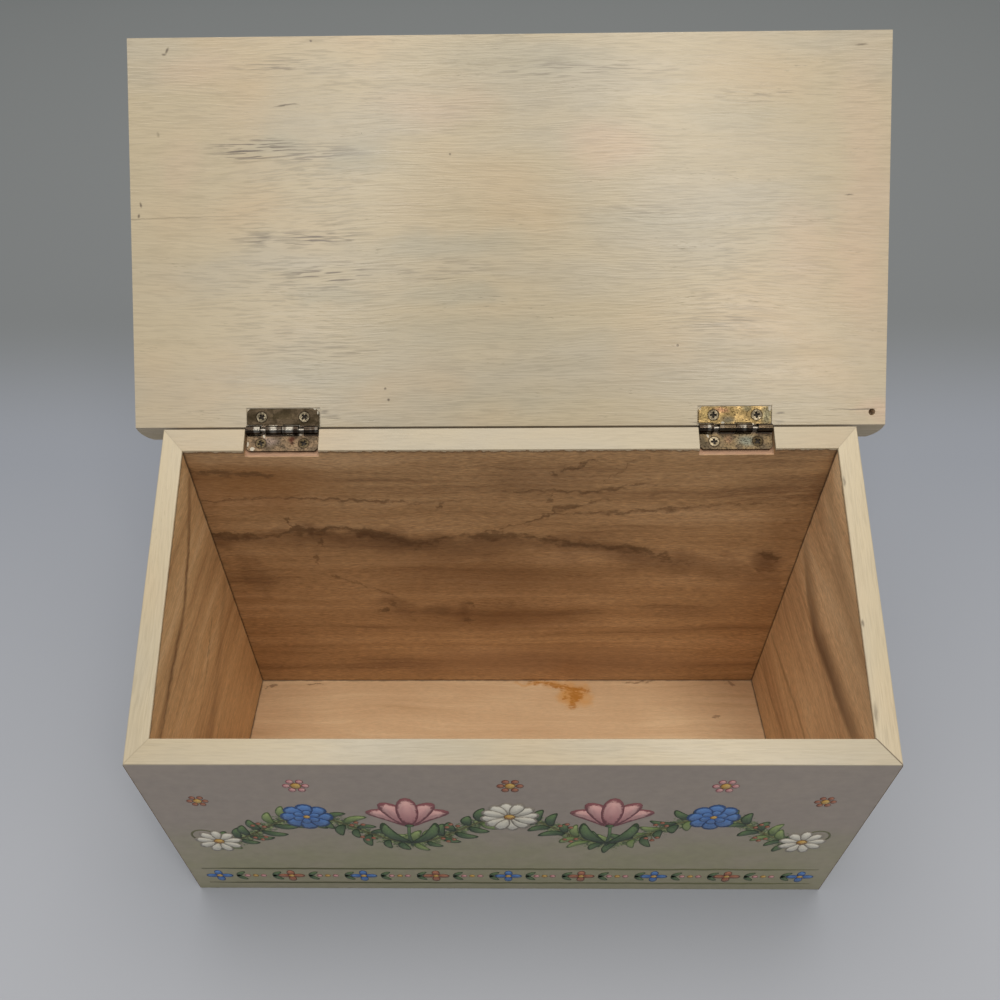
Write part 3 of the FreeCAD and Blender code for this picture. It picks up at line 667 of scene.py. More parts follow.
wallMarks = dict(
    back=[
        dict(ink="957357", uneven=(16, 30, 12), ovals=[((20, 14), (90, 16), 0, 0.45)]),
        dict(ink="8f5a1f", uneven=(16, 30, 12), ovals=[((-76, 102), (36, 16), 0, 0.5)]),
        dict(ink="6d451d", uneven=(16, 30, 12), ovals=[
            ((-4, 62), (50, 16), -4, 0.48), ((-2, 41), (44, 13), 0, 0.55), ((84, 84), (16, 10), 0, 0.25)]),
        dict(ink="5d3c22", uneven=(11, 26, 16), sag=1.8, streaks=[
            [(-93, 80, 3, 0.5), (-75, 79, 4, 0.4), (-60, 82, 5, 0.6), (-36, 79, 6, 0.7), (-16, 78, 6, 0.5),
             (10, 79, 4, 0.5), (40, 73, 6, 0.6), (58, 68, 6, 0.4), (90, 60, 5, 0.25)],
        ], ovals=[((82, 69), (13, 8), -20, 0.6), ((-84, 62), (9, 16), 10, 0.3), ((8, 104), (28, 9), 0, 0.3),
                  ((-38, 46), (9, 6), 0, 0.35), ((-13, 43), (5, 9), 0, 0.35), ((-25, 44), (10, 4), 10, 0.35)]),
        dict(ink="40260f", uneven=(3.0, 12, 6), ragged=0.62, sag=1.7, streaks=[
            [(-92, 81.6, 1.4, 0.8), (-86, 81.0, 2.6, 1.0), (-78, 80.6, 1.8, 0.75), (-72, 81, 1.6, 0.6),
             (-66.5, 84, 2.2, 0.95), (-60, 84, 2.8, 1.1), (-57.2, 82.4, 1.6, 0.8), (-54, 84.6, 2.0, 0.9),
             (-50, 84.2, 2.4, 0.85), (-43, 82, 2.4, 0.95), (-37, 80.8, 3.0, 0.8), (-30.5, 78, 3.2, 0.9),
             (-24.5, 77.6, 3.0, 0.75), (-20.5, 79.8, 1.8, 0.6), (-14, 80.6, 1.6, 0.5), (-6, 81, 2.8, 1.05),
             (4, 80.6, 1.8, 0.8), (12, 79.2, 2.0, 0.75), (22, 77, 2.4, 0.85), (30, 76, 2.2, 0.7),
             (40, 75, 2.6, 0.85), (50, 71, 2.6, 0.65), (60, 67, 1.6, 0.35)],
        ], ovals=[((-42, 44.5), (4.6, 2.4), 20, 0.8), ((-38.5, 48), (3.2, 4.2), -20, 0.65),
                  ((-12.5, 47), (2.4, 4.6), 10, 0.65), ((-13.5, 38.5), (2.6, 4.0), -14, 0.55),
                  ((83, 71), (8, 2.6), -30, 0.8), ((19, 108.5), (8, 1.8), 28, 0.85),
                  ((84, 64), (6, 1.6), -10, 0.5)]),
        dict(ink="452a13", uneven=(3.0, 10, 4), ragged=0.58, sag=1.5, streaks=[
            [(-92, 107.2, 1.3, 0.6), (-82, 107, 1.8, 0.8), (-74, 106.2, 1.8, 0.8), (-66, 106, 1.0, 0.5)],
            [(-91, 95.7, 0.8, 0.7), (-72, 97.3, 0.9, 0.6), (-59, 96.5, 0.9, 0.75), (-43, 96, 1.0, 0.9),
             (-28, 94.8, 0.8, 0.6), (-10, 96, 0.7, 0.4)],
            [(-68, 88.6, 1.0, 0.8), (-65, 85.6, 1.2, 0.9)],
            [(-57, 62.4, 1.1, 0.8), (-50, 58.8, 1.0, 0.65), (-45, 56.4, 0.8, 0.4), (-38.5, 53.2, 1.2, 0.8)],
            [(-2, 99, 0.8, 0.5), (10, 99.4, 1.0, 0.75), (21, 99, 1.1, 0.8), (32, 100.4, 1.0, 0.8),
             (37, 102, 0.9, 0.6), (51, 101.4, 0.8, 0.4)],
            [(-3, 83.6, 1.0, 0.65), (5, 85.6, 1.0, 0.75), (12.3, 89.6, 1.4, 0.85), (14.5, 92.4, 1.6, 0.9),
             (20.8, 93.5, 1.2, 0.75), (30, 96, 0.9, 0.5)],
            [(12, 90.4, 0.9, 0.6), (38, 90.7, 1.2, 0.8), (48.6, 91.6, 1.2, 0.85), (60, 93.5, 1.0, 0.6),
             (74, 93.9, 0.9, 0.55), (92, 93.4, 0.8, 0.5)],
            [(27, 102, 0.8, 0.5), (31, 106.5, 1.1, 0.6), (36, 111.6, 0.9, 0.5), (40, 112, 0.8, 0.4)],
        ], ovals=[((-58.4, 78), (1.6, 4.2), -12, 0.75), ((-60.3, 70), (1.6, 5.0), 4, 0.7),
                  ((-20.2, 93.5), (1.4, 2.8), -20, 0.7), ((12.8, 105.6), (3.2, 1.6), -40, 0.8),
                  ((12, 96), (1.6, 4), 10, 0.6)]),
    ],
    left=[
        dict(ink="6b4522", uneven=(9, 5, 3), streaks=[
            [(-36, 74, 4, 0.4), (-17, 79, 3, 0.55), (4, 84, 2.4, 0.5), (16, 91, 2.4, 0.6), (34, 105, 3, 0.5)],
            [(-36, 30, 5, 0.2), (0, 44, 5, 0.25), (34, 62, 4, 0.2)]]),
        dict(ink="4d2f16", uneven=(3, 8, 3), ragged=0.5, sag=1.5, streaks=[
            [(-34, 73.6, 1.1, 0.6), (-17, 78.6, 1.3, 0.8), (-8, 81, 1.2, 0.75), (4, 84, 1.0, 0.5),
             (16, 91, 1.2, 0.75), (28, 99, 1.0, 0.5)],
            [(-10, 53, 0.9, 0.4), (6, 58.5, 1.1, 0.75), (18, 64.3, 0.9, 0.5)]]),
    ],
    right=[
        dict(ink="65472f", uneven=(9, 4, 2.5), sag=0.35, streaks=[
            [(-36, 69.5, 8, 0.48), (-19, 67.5, 9, 0.75), (-2, 66.5, 9.5, 0.85), (8, 66, 9.5, 0.8),
             (20, 69.5, 9, 0.6), (34, 77, 7, 0.3)]],
            ovals=[((4, 88), (54, 15), 8, 0.12)]),
        dict(ink="6b4c2c", uneven=(9, 4, 2.5), streaks=[
            [(-34, 86, 7, 0.2), (10, 92, 7, 0.25), (34, 104, 6, 0.2)],
            [(-34, 38, 1.2, 0.3), (-7, 37, 1.4, 0.4), (17, 35, 1.5, 0.4), (34, 33, 1.2, 0.3)],
            [(-34, 22, 1.2, 0.25), (10, 19, 1.4, 0.3), (34, 16, 1.2, 0.25)]]),
    ],
    front=[],
)
# The back wall's tones are darker than the sides': the board's own tint, and painted shade for a wall that faces away
# from the lamp above
wallTones = dict(
    back=("846545", "a6845c", "b9976f"),
    left=("b48d61", "d0ab7a", "e0bf90"),
    right=("c09b72", "dcb98c", "e8ca9f"),
    front=("b48d61", "d0ab7a", "e0bf90"),
)
# Painted shade and light for each wall: how bright it is drawn at its foot and at its head
paintedWallShade = dict(back=(1.16, 1.08), left=(1.08, 1.0), right=(0.95, 1.12), front=(1.0, 0.95))
wallTurns = dict(back=faceUpright, front=faceUpright, left=sideUpright, right=sideUpright)
alongSlope = (0, -rimSlope, math.pi / 2)  # the rim of a side wall: grain down the slope
rimTurns = dict(back=faceUpright, front=faceUpright, left=alongSlope, right=alongSlope)
# Painted shade and light: the one cream drawn darker on the back rim, lighter on the right
rimShades = dict(back=0.87, front=0.97, left=1.0, right=1.06)
rimMarks = dict(right=[((8.4, -92.7), (4.5, 0.7), 0, 0.5), ((32, -92.5), (1.5, 0.5), 0, 0.7),
                       ((72, -92.5), (2.2, 0.5), 0, 0.6)])
freshTones = ("96704f", "ab8263", "c09a78")

for number, side in enumerate(("front", "right", "back", "left")):
    node = side + "_panel"
    wall = roundedCopy(node, wallShape["rounding"], wallShape["segments"], 25,
                       lambda edge: isMitre(edge) or isRebate(edge))
    paintWall(wall)
    if side == "front":
        for vert in wall.verts:
            if vert.co.y < (frontLow.y + 0.2) * mm:
                vert.co.y = max(vert.co.y, (frontLow.y + wallShape["paintRoom"]) * mm)
    turn = wallTurns[side]
    finishes = [
        creamPaint(f"satin_cream_{side}_rim", rimTurns[side], (0, 0, 0), 11.0 + 12 * number, seams=True,
                   marks=rimMarks.get(side, ()), shade=rimShades[side], grain=0.4),
        bareWood(f"stained_wood_{side}_wall", turn, 4.0 + 9 * number, wallTones[side], wallMarks[side],
                 climb=paintedWallShade[side], drift=(1.0, 1.13) if side == "back" else (1, 1),
                 silkiness=0.25 if side == "back" else 0.18),
        washPaint(f"sponged_wash_{side}", turn, 5.0 + 5 * number, side == "front"),
    ]
    if side == "back":
        finishes.append(bareWood("fresh_wood_recess", turn, 58.0, freshTones, silkiness=0.2, where="recess"))
    finishPiece(wall, node + "_finished", "box", finishes, [node])
print("walls finished")


# The painting on the front: a garland, two tulips, daisies and rosettes over a bordered band

paints = dict(
    stem=("5d5b35", "77764a", "37391f"),
    leaf=("41553a", "6c8354", "26331f"),
    paleLeaf=("74864c", "9ba96c", "46572d"),
    pink=("d18d8c", "e6b5ab", "76303a"),
    white=("d9d1bd", "ebe4d2", "85796a"),
    ochre=("cb9b42", "e0bb6c", "7d5420"),
    blue=("3663a6", "6890c6", "1f3b6b"),
    clay=("9c5c40", "bd8062", "5c2f20"),
)
paintOrder = list(paints)


def acrylic(name, seed, tones):
    # Craft acrylic laid with a round brush: a paler tip where the brush lifts, bristle marks
    # along the stroke and a fine darker outline. tones are body, tip and outline
    material, tree, shader = newFinish(name, IOR=1.48, Roughness=0.46)
    way = add(tree, "UVMap", uv_map="brush_way")
    axes = add(tree, "SeparateXYZ", {0: way})
    bristles = add(tree, "Mapping", {"Vector": way, "Scale": (2.5, 9, 1)})
    marksAlong = add(tree, "TexNoise", {"Vector": bristles, "W": seed, "Scale": 1.0, "Detail": 2.0},
                     noise_dimensions="4D")
    place = boardPlace(tree, faceUpright)
    uneven = figure(tree, place, 0.9, 0.9, seed + 1, 3.0)
    tip = add(tree, "Math", {0: marksAlong, 1: 0.7, 2: (axes, "X")}, operation="MULTIPLY_ADD")
    tipShare = add(tree, "MapRange", {0: tip, 1: 0.55, 2: 1.25})
    colour = paintOver(tree, linear(tones[0]), tipShare, linear(tones[1]))
    rim = add(tree, "Math", {0: uneven, 1: 0.5, 2: (axes, "Y")}, operation="MULTIPLY_ADD")
    rimShare = add(tree, "MapRange", {0: rim, 1: 0.98, 2: 1.1, 3: 0.0, 4: 0.85})
    colour = paintOver(tree, colour, rimShare, linear(tones[2]))
    tree.links.new(colour.outputs[2], shader.inputs["Base Color"])
    bump = add(tree, "Bump", {"Height": marksAlong, "Strength": 0.35, "Distance": 0.08 * mm})
    tree.links.new(bump.outputs[0], shader.inputs["Normal"])
    return material


def newPainting():
    art = bmesh.new()
    art.loops.layers.uv.new("brush_way")
    return art


def layDown(art, placed, paint, lift):
    # Puts a flat shape on the wall's face. placed gives for each vertex its x and z in mm, how far
    # it is along the stroke and how far from its middle
    ways = art.loops.layers.uv["brush_way"]
    faces = {face for vert in placed for face in vert.link_faces}
    for vert, (x, z, along, off) in placed.items():
        vert.co = Vector((x, frontLow.y + wallShape["paintRoom"] - lift, z)) * mm
    for face in faces:
        face.material_index = paintOrder.index(paint)
        for loop in face.loops:
            loop[ways].uv = placed[loop.vert][2:]


def stroke(art, start, turn, length, width, paint, lift, bend=0.0, taper=0.35, points=16):
    # One press of a round brush: a drop that is widest near its start and bends to one side
    made = bmesh.ops.create_circle(art, cap_ends=True, cap_tris=True, segments=points, radius=1.0)
    forward = Vector((math.cos(math.radians(turn)), math.sin(math.radians(turn))))
    aside = Vector((-forward.y, forward.x))
    placed = {}
    for vert in made["verts"]:
        along = (vert.co.x + 1) / 2
        across = vert.co.y * width / 2 * (1 + taper * (1 - 2 * along))
        swerve = bend * length * 4 * along * (1 - along)
        spot = Vector(start) + forward * along * length + aside * (across + swerve)
        placed[vert] = (spot.x, spot.y, along, vert.co.xy.length)
    layDown(art, placed, paint, lift)


def line(art, way, width, paint, lift, tipWidth=0.3):
    # A thin line through a row of points, narrower at both ends
    steps = len(way) - 1
    made = bmesh.ops.create_grid(art, x_segments=steps, y_segments=2, size=1.0)
    placed = {}
    for vert in made["verts"]:
        number = round((vert.co.x + 1) / 2 * steps)
        here = Vector(way[number])
        forward = (Vector(way[min(number + 1, steps)]) - Vector(way[max(number - 1, 0)])).normalized()
        ends = min(1.0, tipWidth + 8 * min(number, steps - number) / steps)
        spot = here + Vector((-forward.y, forward.x)) * vert.co.y * width / 2 * ends
        placed[vert] = (spot.x, spot.y, number / steps, abs(vert.co.y))
    layDown(art, placed, paint, lift)


def finishPainting(art, name):
    # Gives the flat strokes their thickness and hangs them on the box
    art.normal_update()
    bmesh.ops.reverse_faces(art, faces=[face for face in art.faces if face.normal.y > 0])
    piece = finishPiece(art, name, "box", [acrylics[paint] for paint in paintOrder])
    body = piece.modifiers.new("paint body", "SOLIDIFY")
    body.thickness = 0.04 * mm
    body.offset = -1
    return piece


def vineHeight(x):
    return garland["height"] + garland["swing"] * math.cos(2 * math.pi * x / garland["wave"])


def vineSlope(x):
    rate = 2 * math.pi / garland["wave"]
    return math.degrees(math.atan(-garland["swing"] * rate * math.sin(rate * x)))


def tulip(art, x, z, size, lean):
    for turn, bend in ((52, -0.14), (-52, 0.14), (27, -0.05), (-27, 0.05), (0, 0)):
        stroke(art, (x, z), 90 + lean + turn, size * (1 - abs(turn) / 400), size * 0.38, "pink",
               0.062 + 0.0003 * (52 - abs(turn)), bend, -0.1)
    stroke(art, (x - 1.3, z + 0.2), 0, 2.6, 1.7, "leaf", 0.086, 0, 0)


def daisy(art, x, z, size, petals=9):
    for number in range(petals):
        turn = number * 360 / petals + 8
        start = (x + 0.9 * math.cos(math.radians(turn)), z + 0.9 * math.sin(math.radians(turn)))
        stroke(art, start, turn, size, size * 0.52, "white", 0.06 + 0.001 * (number % 3), 0, -0.3)
    stroke(art, (x - 1.6, z), 0, 3.2, 3.0, "ochre", 0.08, 0, 0)
    for number in range(5):
        turn = math.radians(200 + number * 36)
        stroke(art, (x + 0.95 * math.cos(turn) - 0.25, z + 0.95 * math.sin(turn)), 0, 0.5, 0.5, "clay",
               0.088, 0, 0, 8)


def rosette(art, x, z, size):
    for ring, (count, reach) in enumerate(((8, 1.0), (6, 0.55))):
        for number in range(count):
            turn = number * 360 / count + 22 * ring
            stroke(art, (x, z), turn, size * reach, size * reach * 0.62, "blue",
                   0.058 + 0.012 * ring + 0.0008 * number, 0, -0.45)
    stroke(art, (x - 1.0, z), 0, 2.0, 1.9, "ochre", 0.088, 0, 0)


def berries(art, x, z, turn):
    for spread, far in ((-26, 3.4), (2, 4.6), (28, 3.6)):
        way = math.radians(turn + spread)
        end = (x + far * math.cos(way), z + far * math.sin(way))
        line(art, [(x, z), ((x + end[0]) / 2, (z + end[1]) / 2 + 0.15), end], 0.3, "stem", 0.03, 0.8)
        stroke(art, (end[0] - 0.75, end[1]), 0, 1.5, 1.5, "clay", 0.064, 0, 0, 12)


def dotRing(art, x, z, size, paint):
    # Six dots round an ochre one
    for number in range(7):
        turn = math.radians(number * 60)
        reach = size if number < 6 else 0
        dot = 0.42 * size if number < 6 else 0.6 * size
        stroke(art, (x + reach * math.cos(turn) - dot, z + reach * math.sin(turn)), 0, 2 * dot, 2 * dot,
               paint if number < 6 else "ochre", 0.05, 0, 0, 14)


acrylics = {paint: acrylic(f"acrylic_{paint}", 210.0 + 3 * number, tones)
            for number, (paint, tones) in enumerate(paints.items())}
draw = random.Random(7)

vine = newPainting()
steps = 88
way = [(x, vineHeight(x)) for x in (garland["reach"] * (2 * n / steps - 1) for n in range(steps + 1))]
line(vine, way, 0.85, "stem", 0.02)
for side in (-1, 1):
    curl = [(side * (garland["reach"] - 0.5 + 3.4 * math.sin(a / 5)), vineHeight(88) + 3.4 - 3.4 * math.cos(a / 5))
            for a in range(0, 22)]
    line(vine, curl, 0.6, "stem", 0.021)
spacing = 3.9
for number in range(-22, 23):
    x = number * spacing + draw.uniform(-0.5, 0.5)
    slope = vineSlope(x)
    for side in (-1, 1):
        turn = slope + side * draw.uniform(44, 70) if x < 0 else slope + 180 - side * draw.uniform(44, 70)
        paint = "leaf" if draw.random() < 0.68 else "paleLeaf"
        start = (x, vineHeight(x) + side * 0.3)
        stroke(vine, start, turn, draw.uniform(5.6, 8.2), draw.uniform(2.4, 3.3), paint,
               0.03 + draw.uniform(0, 0.012), 0.12 * side, 0.1)
for side in (-1, 1):
    for x, turn in ((15, 74), (42, 82), (71, 100), (17, -82), (40, -80), (72, -100)):
        berries(vine, side * x, vineHeight(x), turn if side > 0 else 180 - turn)
finishPainting(vine, "painted_garland")

flowers = newPainting()
for side in (-1, 1):
    foot = (side * 28, vineHeight(28))
    line(flowers, [(foot[0], foot[1] - 2), (foot[0] + side * 0.5, foot[1] + 5), (foot[0], foot[1] + 13)], 1.0,
         "leaf", 0.05, 0.9)
    for lean in (-1, 1):
        stroke(flowers, (foot[0], foot[1] - 0.5), 90 - 30 * lean, 15, 3.8, "leaf", 0.052, -0.14 * lean, -0.05)
    tulip(flowers, foot[0], foot[1] + 10.5, 16.5, 0)
    rosette(flowers, side * 56, vineHeight(56), 7.4)
    daisy(flowers, side * 84, vineHeight(84) + 0.5, 6.0)
    dotRing(flowers, side * 56, vineHeight(56) + 17.5, 2.5, "pink")
    dotRing(flowers, side * 84, vineHeight(56) + 9.0, 2.1, "clay")
daisy(flowers, 0, vineHeight(0), 7.4, 12)
dotRing(flowers, 0, vineHeight(0) + 17.5, 2.5, "clay")
finishPainting(flowers, "painted_flowers")

border = newPainting()
bandReach = 94.0
for z in (4.6, 15.0):
    way = [(bandReach * (n / 30 - 1), z + draw.uniform(-0.12, 0.12)) for n in range(61)]
    line(border, way, 1.0, "stem", 0.03)
for number in range(-8, 9):
    x = number * 11.2
    if number % 2 == 0:
        for turn in (0, 90, 180, 270):
            stroke(border, (x, 9.8), turn, 4.2 if turn % 180 == 0 else 3.9, 2.5, "clay" if number % 4 else "blue",
                   0.05, 0, -0.1)
        stroke(border, (x - 1.0, 9.8), 0, 2.0, 1.9, "ochre", 0.07, 0, 0, 12)
    else:
        for shift in (-2.5, 0, 2.5):
            stroke(border, (x + shift - 0.95, 9.8), 0, 1.9, 1.9, "ochre" if shift == 0 else "pink",
                   0.05, 0, 0, 12)
    if number < 8:
        for side in (-1, 1):
            stroke(border, (x + 5.6, 9.8 - 0.6 * side), side * 52, 4.4, 1.9, "leaf", 0.045, 0.1 * side, 0.1)
finishPainting(border, "painted_border")
print("painting finished")


# The bottom board

bottomMarks = [
    dict(ink="dc9a3c", uneven=(5, 14, 8), streaks=[
        [(2, 34.8, 1.0, 0.3), (12, 34.6, 1.6, 0.55), (20, 33, 2.4, 0.65), (28, 30.5, 3.4, 0.6)]],
        ovals=[((25, 29), (9, 7.5), -10, 0.7)]),
    dict(ink="b8740f", uneven=(2.4, 9, 5), ragged=0.85, streaks=[
        [(6, 34.8, 1.0, 0.5), (14, 34.3, 1.6, 0.75), (22, 32.6, 2.4, 0.9), (30, 31, 2.6, 0.8)]],
        ovals=[((25.5, 29), (5.6, 5.4), 0, 0.9), ((24, 25), (3.4, 3.4), 10, 0.7)]),
    dict(ink="6d4528", uneven=(3, 6, 4), ragged=0.6, ovals=[
        ((-88, 33), (3.0, 1.6), 20, 1.0), ((84, 34), (4, 1.2), -12, 0.9), ((-72, 34.5), (6, 0.8), 4, 0.9),
        ((50, 34.8), (12, 0.8), 0, 0.8), ((76, 20), (2.4, 1.2), 0, 0.9), ((88, 6), (3, 1), 30, 0.7),
        ((2, 6), (2, 0.8), 0, 0.7), ((66, 10), (1.6, 0.8), 0, 0.8)]),
]
bottom = roundedCopy("bottom_panel", 0.15, 2, 25)
bottomWood = bareWood("bare_wood_bottom", floorLying, 61.0, ("caa47a", "dab78d", "e8c99f"), bottomMarks,
                      bandWidth=12, silkiness=0.07, where="floor")
finishPiece(bottom, "bottom_panel_finished", "box", [bottomWood], ["bottom_panel"])


# The lid

lidPaint = dict(
    blush=[((29, 79), (17, 12), 0, 0.5), ((100, 62), (12, 60), 0, 0.45), ((84, 50), (13, 18), 0, 0.35),
           ((-20, 90), (26, 7), 0, 0.3), ((104, 3), (5, 4), 0, 0.7), ((-88, 100), (14, 7), 0, 0.3),
           ((-92, 75), (10, 12), 0, 0.25)],
    # Grey smudges in the paint; the last oval, across the top middle, is painted shade
    hazeAndShade=[((-44, 76), (20, 7), 4, 0.65), ((-16, 52), (32, 6), 2, 0.6), ((-14, 38), (28, 5), 0, 0.55),
          ((-8, 28), (44, 8), 0, 0.4), ((-66, 80), (14, 4), 0, 0.5), ((-50, 38), (18, 5), 0, 0.5),
          ((40, 58), (30, 6), 0, 0.35), ((64, 86), (22, 7), 0, 0.35), ((-62, 16), (30, 6), 0, 0.3),
          ((-4, 8), (36, 6), 0, 0.35), ((66, 22), (22, 7), 0, 0.35), ((2, 103), (44, 8), 0, 0.6)],
    sheenBands=[((-58, 62), (36, 76), 0, 1.0), ((62, 55), (22, 70), 0, 0.5)],
    dashed=[((-51.4, 4.6), (3.0, 5.5), 0, 0.8), ((76.2, 3.4), (2.2, 3.2), 0, 0.8), ((52.6, 2.8), (2.0, 2.6), 30, 0.7),
            ((-71, 78.5), (18, 5), 3, 1.0), ((-56, 77.5), (26, 4), 0, 0.6), ((-58, 54), (26, 3), 0, 0.9),
            ((-50, 43.5), (22, 6), 2, 0.8), ((-62, 101), (24, 4), 0, 0.55), ((-20, 44), (30, 7), 0, 0.35),
            ((20, 100), (44, 4), 0, 0.45), ((34, 60), (30, 5), 0, 0.35), ((72, 92), (24, 4), 0, 0.4),
            ((60, 30), (30, 6), 0, 0.35), ((-50, 22), (34, 5), 0, 0.35)],
    marks=[((-95.5, 106), (0.5, 1.5), -30, 0.8), ((-96.4, 105), (0.9, 0.5), 0, 0.7),
           ((-103.7, 63.6), (0.5, 1.1), 15, 0.8), ((-104.4, 60.6), (0.45, 0.9), -10, 0.8),
           ((-55, 108.4), (0.6, 0.5), 0, 0.8), ((-35, 11.8), (0.5, 0.5), 0, 0.8),
           ((-34, 8.6), (0.6, 0.6), 0, 0.9), ((98, 105.6), (2.6, 0.4), 0, 0.6),
           ((95.5, 64.8), (1.8, 0.3), 0, 0.7), ((-98.5, 83), (0.6, 1.2), 10, 0.4)],
    cracks=[[(-107.5, 59.6, 0.3, 0.4), (-96, 59.9, 0.3, 0.35), (-86, 60.2, 0.3, 0.25), (-75, 60.3, 0.3, 0.0)],
            [(-66.6, 90.2, 0.25, 0.1), (-63, 90.6, 0.4, 0.85), (-59.6, 91.1, 0.3, 0.6)],
            [(88, 5.4, 0.3, 0.0), (97, 5.2, 0.35, 0.7), (103, 5.4, 0.35, 0.8)]],
    # Painted shade: the lid's cream drawn 5 % darker
    shade=0.95,
)
lid = roundedCopy("lid_board", 0.3, 3, 28)
for face in lid.faces:
    centre = face.calc_center_median() / mm - pivot
    inward = lidUp.dot(face.normal)
    deep = lidUp.dot(centre)
    face.material_index = 0 if inward > -0.6 or abs(deep) < 4 else 1
lidFinishes = [
    creamPaint("satin_cream_lid", lidLying, pivot, 3.0, **lidPaint),
    washPaint("sponged_wash_lid", lidLying, 31.0, corners=False),
]
finishPiece(lid, "lid_board_finished", "lid", lidFinishes, ["lid_board"])
print("lid finished")


# Hinges and screws

hingeLook = dict(
    left_hinge_lid_leaf=dict(
        tones=("4d4132", "3f3526", "2a2218"),
        speckle=0.35,
        stains=[([((-64, 4), (6, 1.4), 0, 0.4)], "584b36")],
        flecks=[((-55.3, 6.3), (0.5, 1.0), 45, 1.0), ((-54.2, 5.0), (0.3, 0.7), 0, 0.9)],
    ),
    left_hinge_box_leaf=dict(
        tones=("675643", "524638", "2f271d"),
        stains=[([((-61.6, -2.6), (1.7, 1.5), 0, 1.0), ((-61.4, -3.6), (0.9, 1.0), 0, 0.9)], "3c241b"),
                ([((-68, -3.2), (4, 2), 0, 0.5)], "7b6d66")],
        flecks=[((-72.6, -5.4), (1.0, 0.8), 0, 1.0), ((-74.0, -4.0), (0.35, 1.1), 0, 1.0),
                ((-69.5, -1.7), (0.5, 0.8), 30, 0.8)],
    ),
    right_hinge_lid_leaf=dict(
        tones=("a68c5e", "89744d", "50412a"),
        stains=[([((73.2, 3.6), (2.6, 4.2), 0, 0.9), ((67.6, 5.6), (2.0, 1.2), 0, 0.7)], "77735c"),
                ([((62.3, 2.4), (3.0, 1.6), 0, 1.0)], "6c6350"),
                ([((60.4, 5.2), (3.0, 1.1), -8, 0.7)], "ab7c60"),
                ([((55.6, 4.0), (2.0, 3.0), 0, 0.7)], "84734a")],
        flecks=[((73.9, 5.7), (0.5, 1.3), 8, 1.0), ((54.3, 5.9), (0.35, 1.2), 0, 1.0),
                ((60.8, 1.7), (0.9, 0.4), 0, 0.8)],
    ),
    right_hinge_box_leaf=dict(
        tones=("65563f", "534839", "2e271e"),
        stains=[([((67.2, -3.6), (4.0, 2.4), 0, 0.9)], "5f6156"),
                ([((55.2, -4.0), (1.9, 3.2), 0, 0.8)], "423a2c"),
                ([((62.0, -3.2), (1.6, 2.0), 0, 0.5)], "785b45")],
        flecks=[((56.4, -2.2), (0.4, 0.9), 25, 0.8)],
    ),
)


def screwHead(node):
    # The middle of the top of a screw's head and its radius
    up = lidUp if "lid_screw" in node else rimUp
    points = [vert.co for vert in frame["nodes"][node].data.vertices]
    top = max(up.dot(point) for point in points)
    upper = [point for point in points if up.dot(point) > top - 0.05 * mm]
    low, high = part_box(node)
    return sum(upper, Vector()) / len(upper), (high.x - low.x) / 2


for number, (node, look) in enumerate(hingeLook.items()):
    leaf = roundedCopy(node, 0.07, 2, 30)
    screws = [name for name in frame["nodes"] if name.startswith(node.replace("leaf", "screw"))]
    brass = agedBrass(f"aged_brass_{number + 1}", 80.0 + 6 * number, heads=[screwHead(name) for name in screws],
                      **look)
    body = "lid" if "lid" in node else "box"
    finishPiece(leaf, node + "_finished", body, [brass], [node], 25)

screwBrass = dict(
    pale=agedBrass("worn_screw_brass", 120.0, ("8b7f69", "6c614e", "3d3327"), 0.34),
    dark=agedBrass("dark_screw_brass", 131.0, ("544936", "403626", "241c14"), 0.38),
)
darkCross = darkCrossFinish("dark_in_the_cross")
wire = drawnSteel("drawn_steel_wire")
for node in frame["nodes"]:
    body = "lid" if "lid_screw" in node else "box"
    if "screw" in node:
        screw = roundedCopy(node, 0.04, 2, 30)
        up = lidUp if body == "lid" else rimUp
        axis, headRadius = screwHead(node)
        for face in screw.faces:
            off = face.calc_center_median() - axis
            deep = -up.dot(off) / mm
            inCross = 0.1 < deep < 0.5 and (off - up * up.dot(off)).length / mm < 0.92
            face.material_index = 1 if inCross else 0
        # The three that were painted over and never turned again stay dark
        dark = body == "box" and not 0 < axis.x / mm < pivot.x + 64
        finishes = [screwBrass["dark" if dark else "pale"], darkCross]
        finishPiece(screw, node + "_finished", body, finishes, [node], 30)
    elif "pin" in node:
        pin = roundedCopy(node, 0.08, 2, 40)
        finishPiece(pin, node + "_finished", body, [wire], [node], 30)
print("hinges finished")


# Studio: a pale sweep, a large soft lamp above and two tall strips beside the camera

stageLook = dict(
    near="b2b4b9",
    middle="93979f",
    far="7c7f80",
    horizon="888b8a",
    nearAt=-140.0,  # mm behind the origin
    middleAt=165.0,
    farAt=300.0,
    horizonAt=900.0,
    size=12.0,
)


def studioPaper():
    # Matt grey paper with painted light: its tone falls off with distance, as the light on a lit sweep does
    look = stageLook
    material, tree, shader = newFinish("sweep_paper", Roughness=0.9, Specular_IOR_Level=0.2)
    place = boardPlace(tree, floorLying)
    axes = add(tree, "SeparateXYZ", {0: place})
    toMiddle = add(tree, "MapRange", {0: (axes, "Y"), 1: look["nearAt"], 2: look["middleAt"]})
    toFar = add(tree, "MapRange", {0: (axes, "Y"), 1: look["middleAt"], 2: look["farAt"]},
                interpolation_type="SMOOTHSTEP")
    toHorizon = add(tree, "MapRange", {0: (axes, "Y"), 1: look["farAt"], 2: look["horizonAt"]})
    colour = paintOver(tree, linear(look["near"]), toMiddle, linear(look["middle"]))
    colour = paintOver(tree, colour, toFar, linear(look["far"]))
    colour = paintOver(tree, colour, toHorizon, linear(look["horizon"]))
    tree.links.new(colour.outputs[2], shader.inputs["Base Color"])
    return material


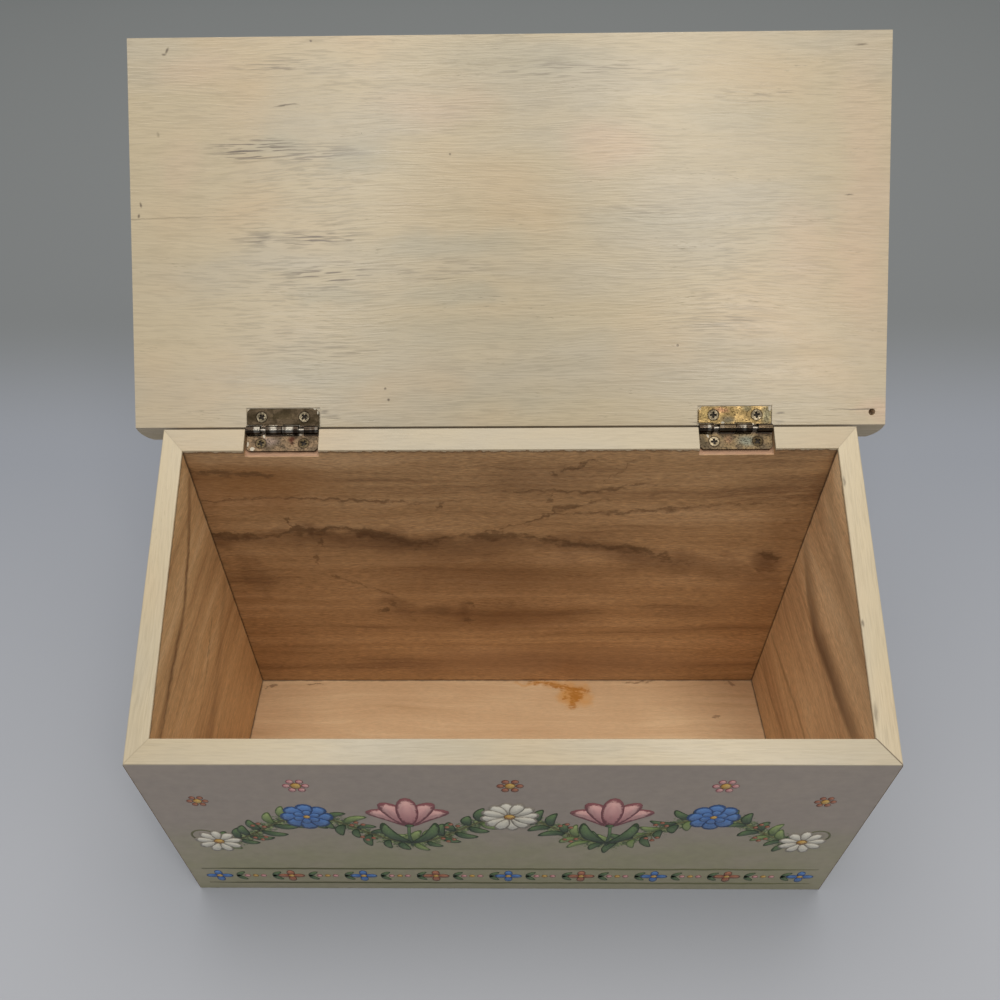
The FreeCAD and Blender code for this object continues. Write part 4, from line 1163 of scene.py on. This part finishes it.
floorShape = bmesh.new()
bmesh.ops.create_grid(floorShape, x_segments=2, y_segments=2, size=stageLook["size"] / 2)
floorMesh = bpy.data.meshes.new("studio_floor")
floorShape.to_mesh(floorMesh)
floorShape.free()
floorMesh.materials.append(studioPaper())
studioFloor = bpy.data.objects.new("studio_floor", floorMesh)
scene.collection.objects.link(studioFloor)

lamps = dict(
    overhead=dict(place=(0.0, 0.29, 1.3), aim=(0, 0.05, 0.05), size=(1.3, 0.9), watts=10.6, tint="fffaf2"),
    stripLeft=dict(place=(-0.252, -0.42, 1.09), aim=(0, 0.08, 0.16), size=(0.07, 0.75), watts=1.7,
                   tint="fbfaf6"),
    stripRight=dict(place=(0.327, -0.42, 1.09), aim=(0, 0.08, 0.16), size=(0.10, 0.75), watts=2.6,
                    tint="fffaf2"),
)
for name, look in lamps.items():
    light = bpy.data.lights.new(name, "AREA")
    light.shape = "RECTANGLE"
    light.size, light.size_y = look["size"]
    light.energy = look["watts"]
    light.color = linear(look["tint"])[:3]
    lamp = bpy.data.objects.new(name, light)
    lamp.location = look["place"]
    aim = Vector(look["aim"]) - lamp.location
    lamp.rotation_euler = aim.to_track_quat("-Z", "Y").to_euler()
    scene.collection.objects.link(lamp)

world = bpy.data.worlds.new("studio")
scene.world = world
world.use_nodes = True
world.node_tree.nodes["Background"].inputs["Color"].default_value = linear("e9edf4")
world.node_tree.nodes["Background"].inputs["Strength"].default_value = 0.4

cameraLook = dict(
    place=(-3.03, -150.68, 270.98),  # mm
    turn=(42.652, 0.700, 0.449),  # degrees
    lens=30.931,
    shift=(0.01446, 0.06264),
)
cameraData = bpy.data.cameras.new("photo_view")
cameraData.sensor_width = 36.0
cameraData.lens = cameraLook["lens"]
cameraData.shift_x, cameraData.shift_y = cameraLook["shift"]
cameraData.clip_start = 0.01
camera = bpy.data.objects.new("photo_view", cameraData)
camera.location = Vector(cameraLook["place"]) * mm
camera.rotation_euler = [math.radians(a) for a in cameraLook["turn"]]
scene.collection.objects.link(camera)
scene.camera = camera
print("studio ready")
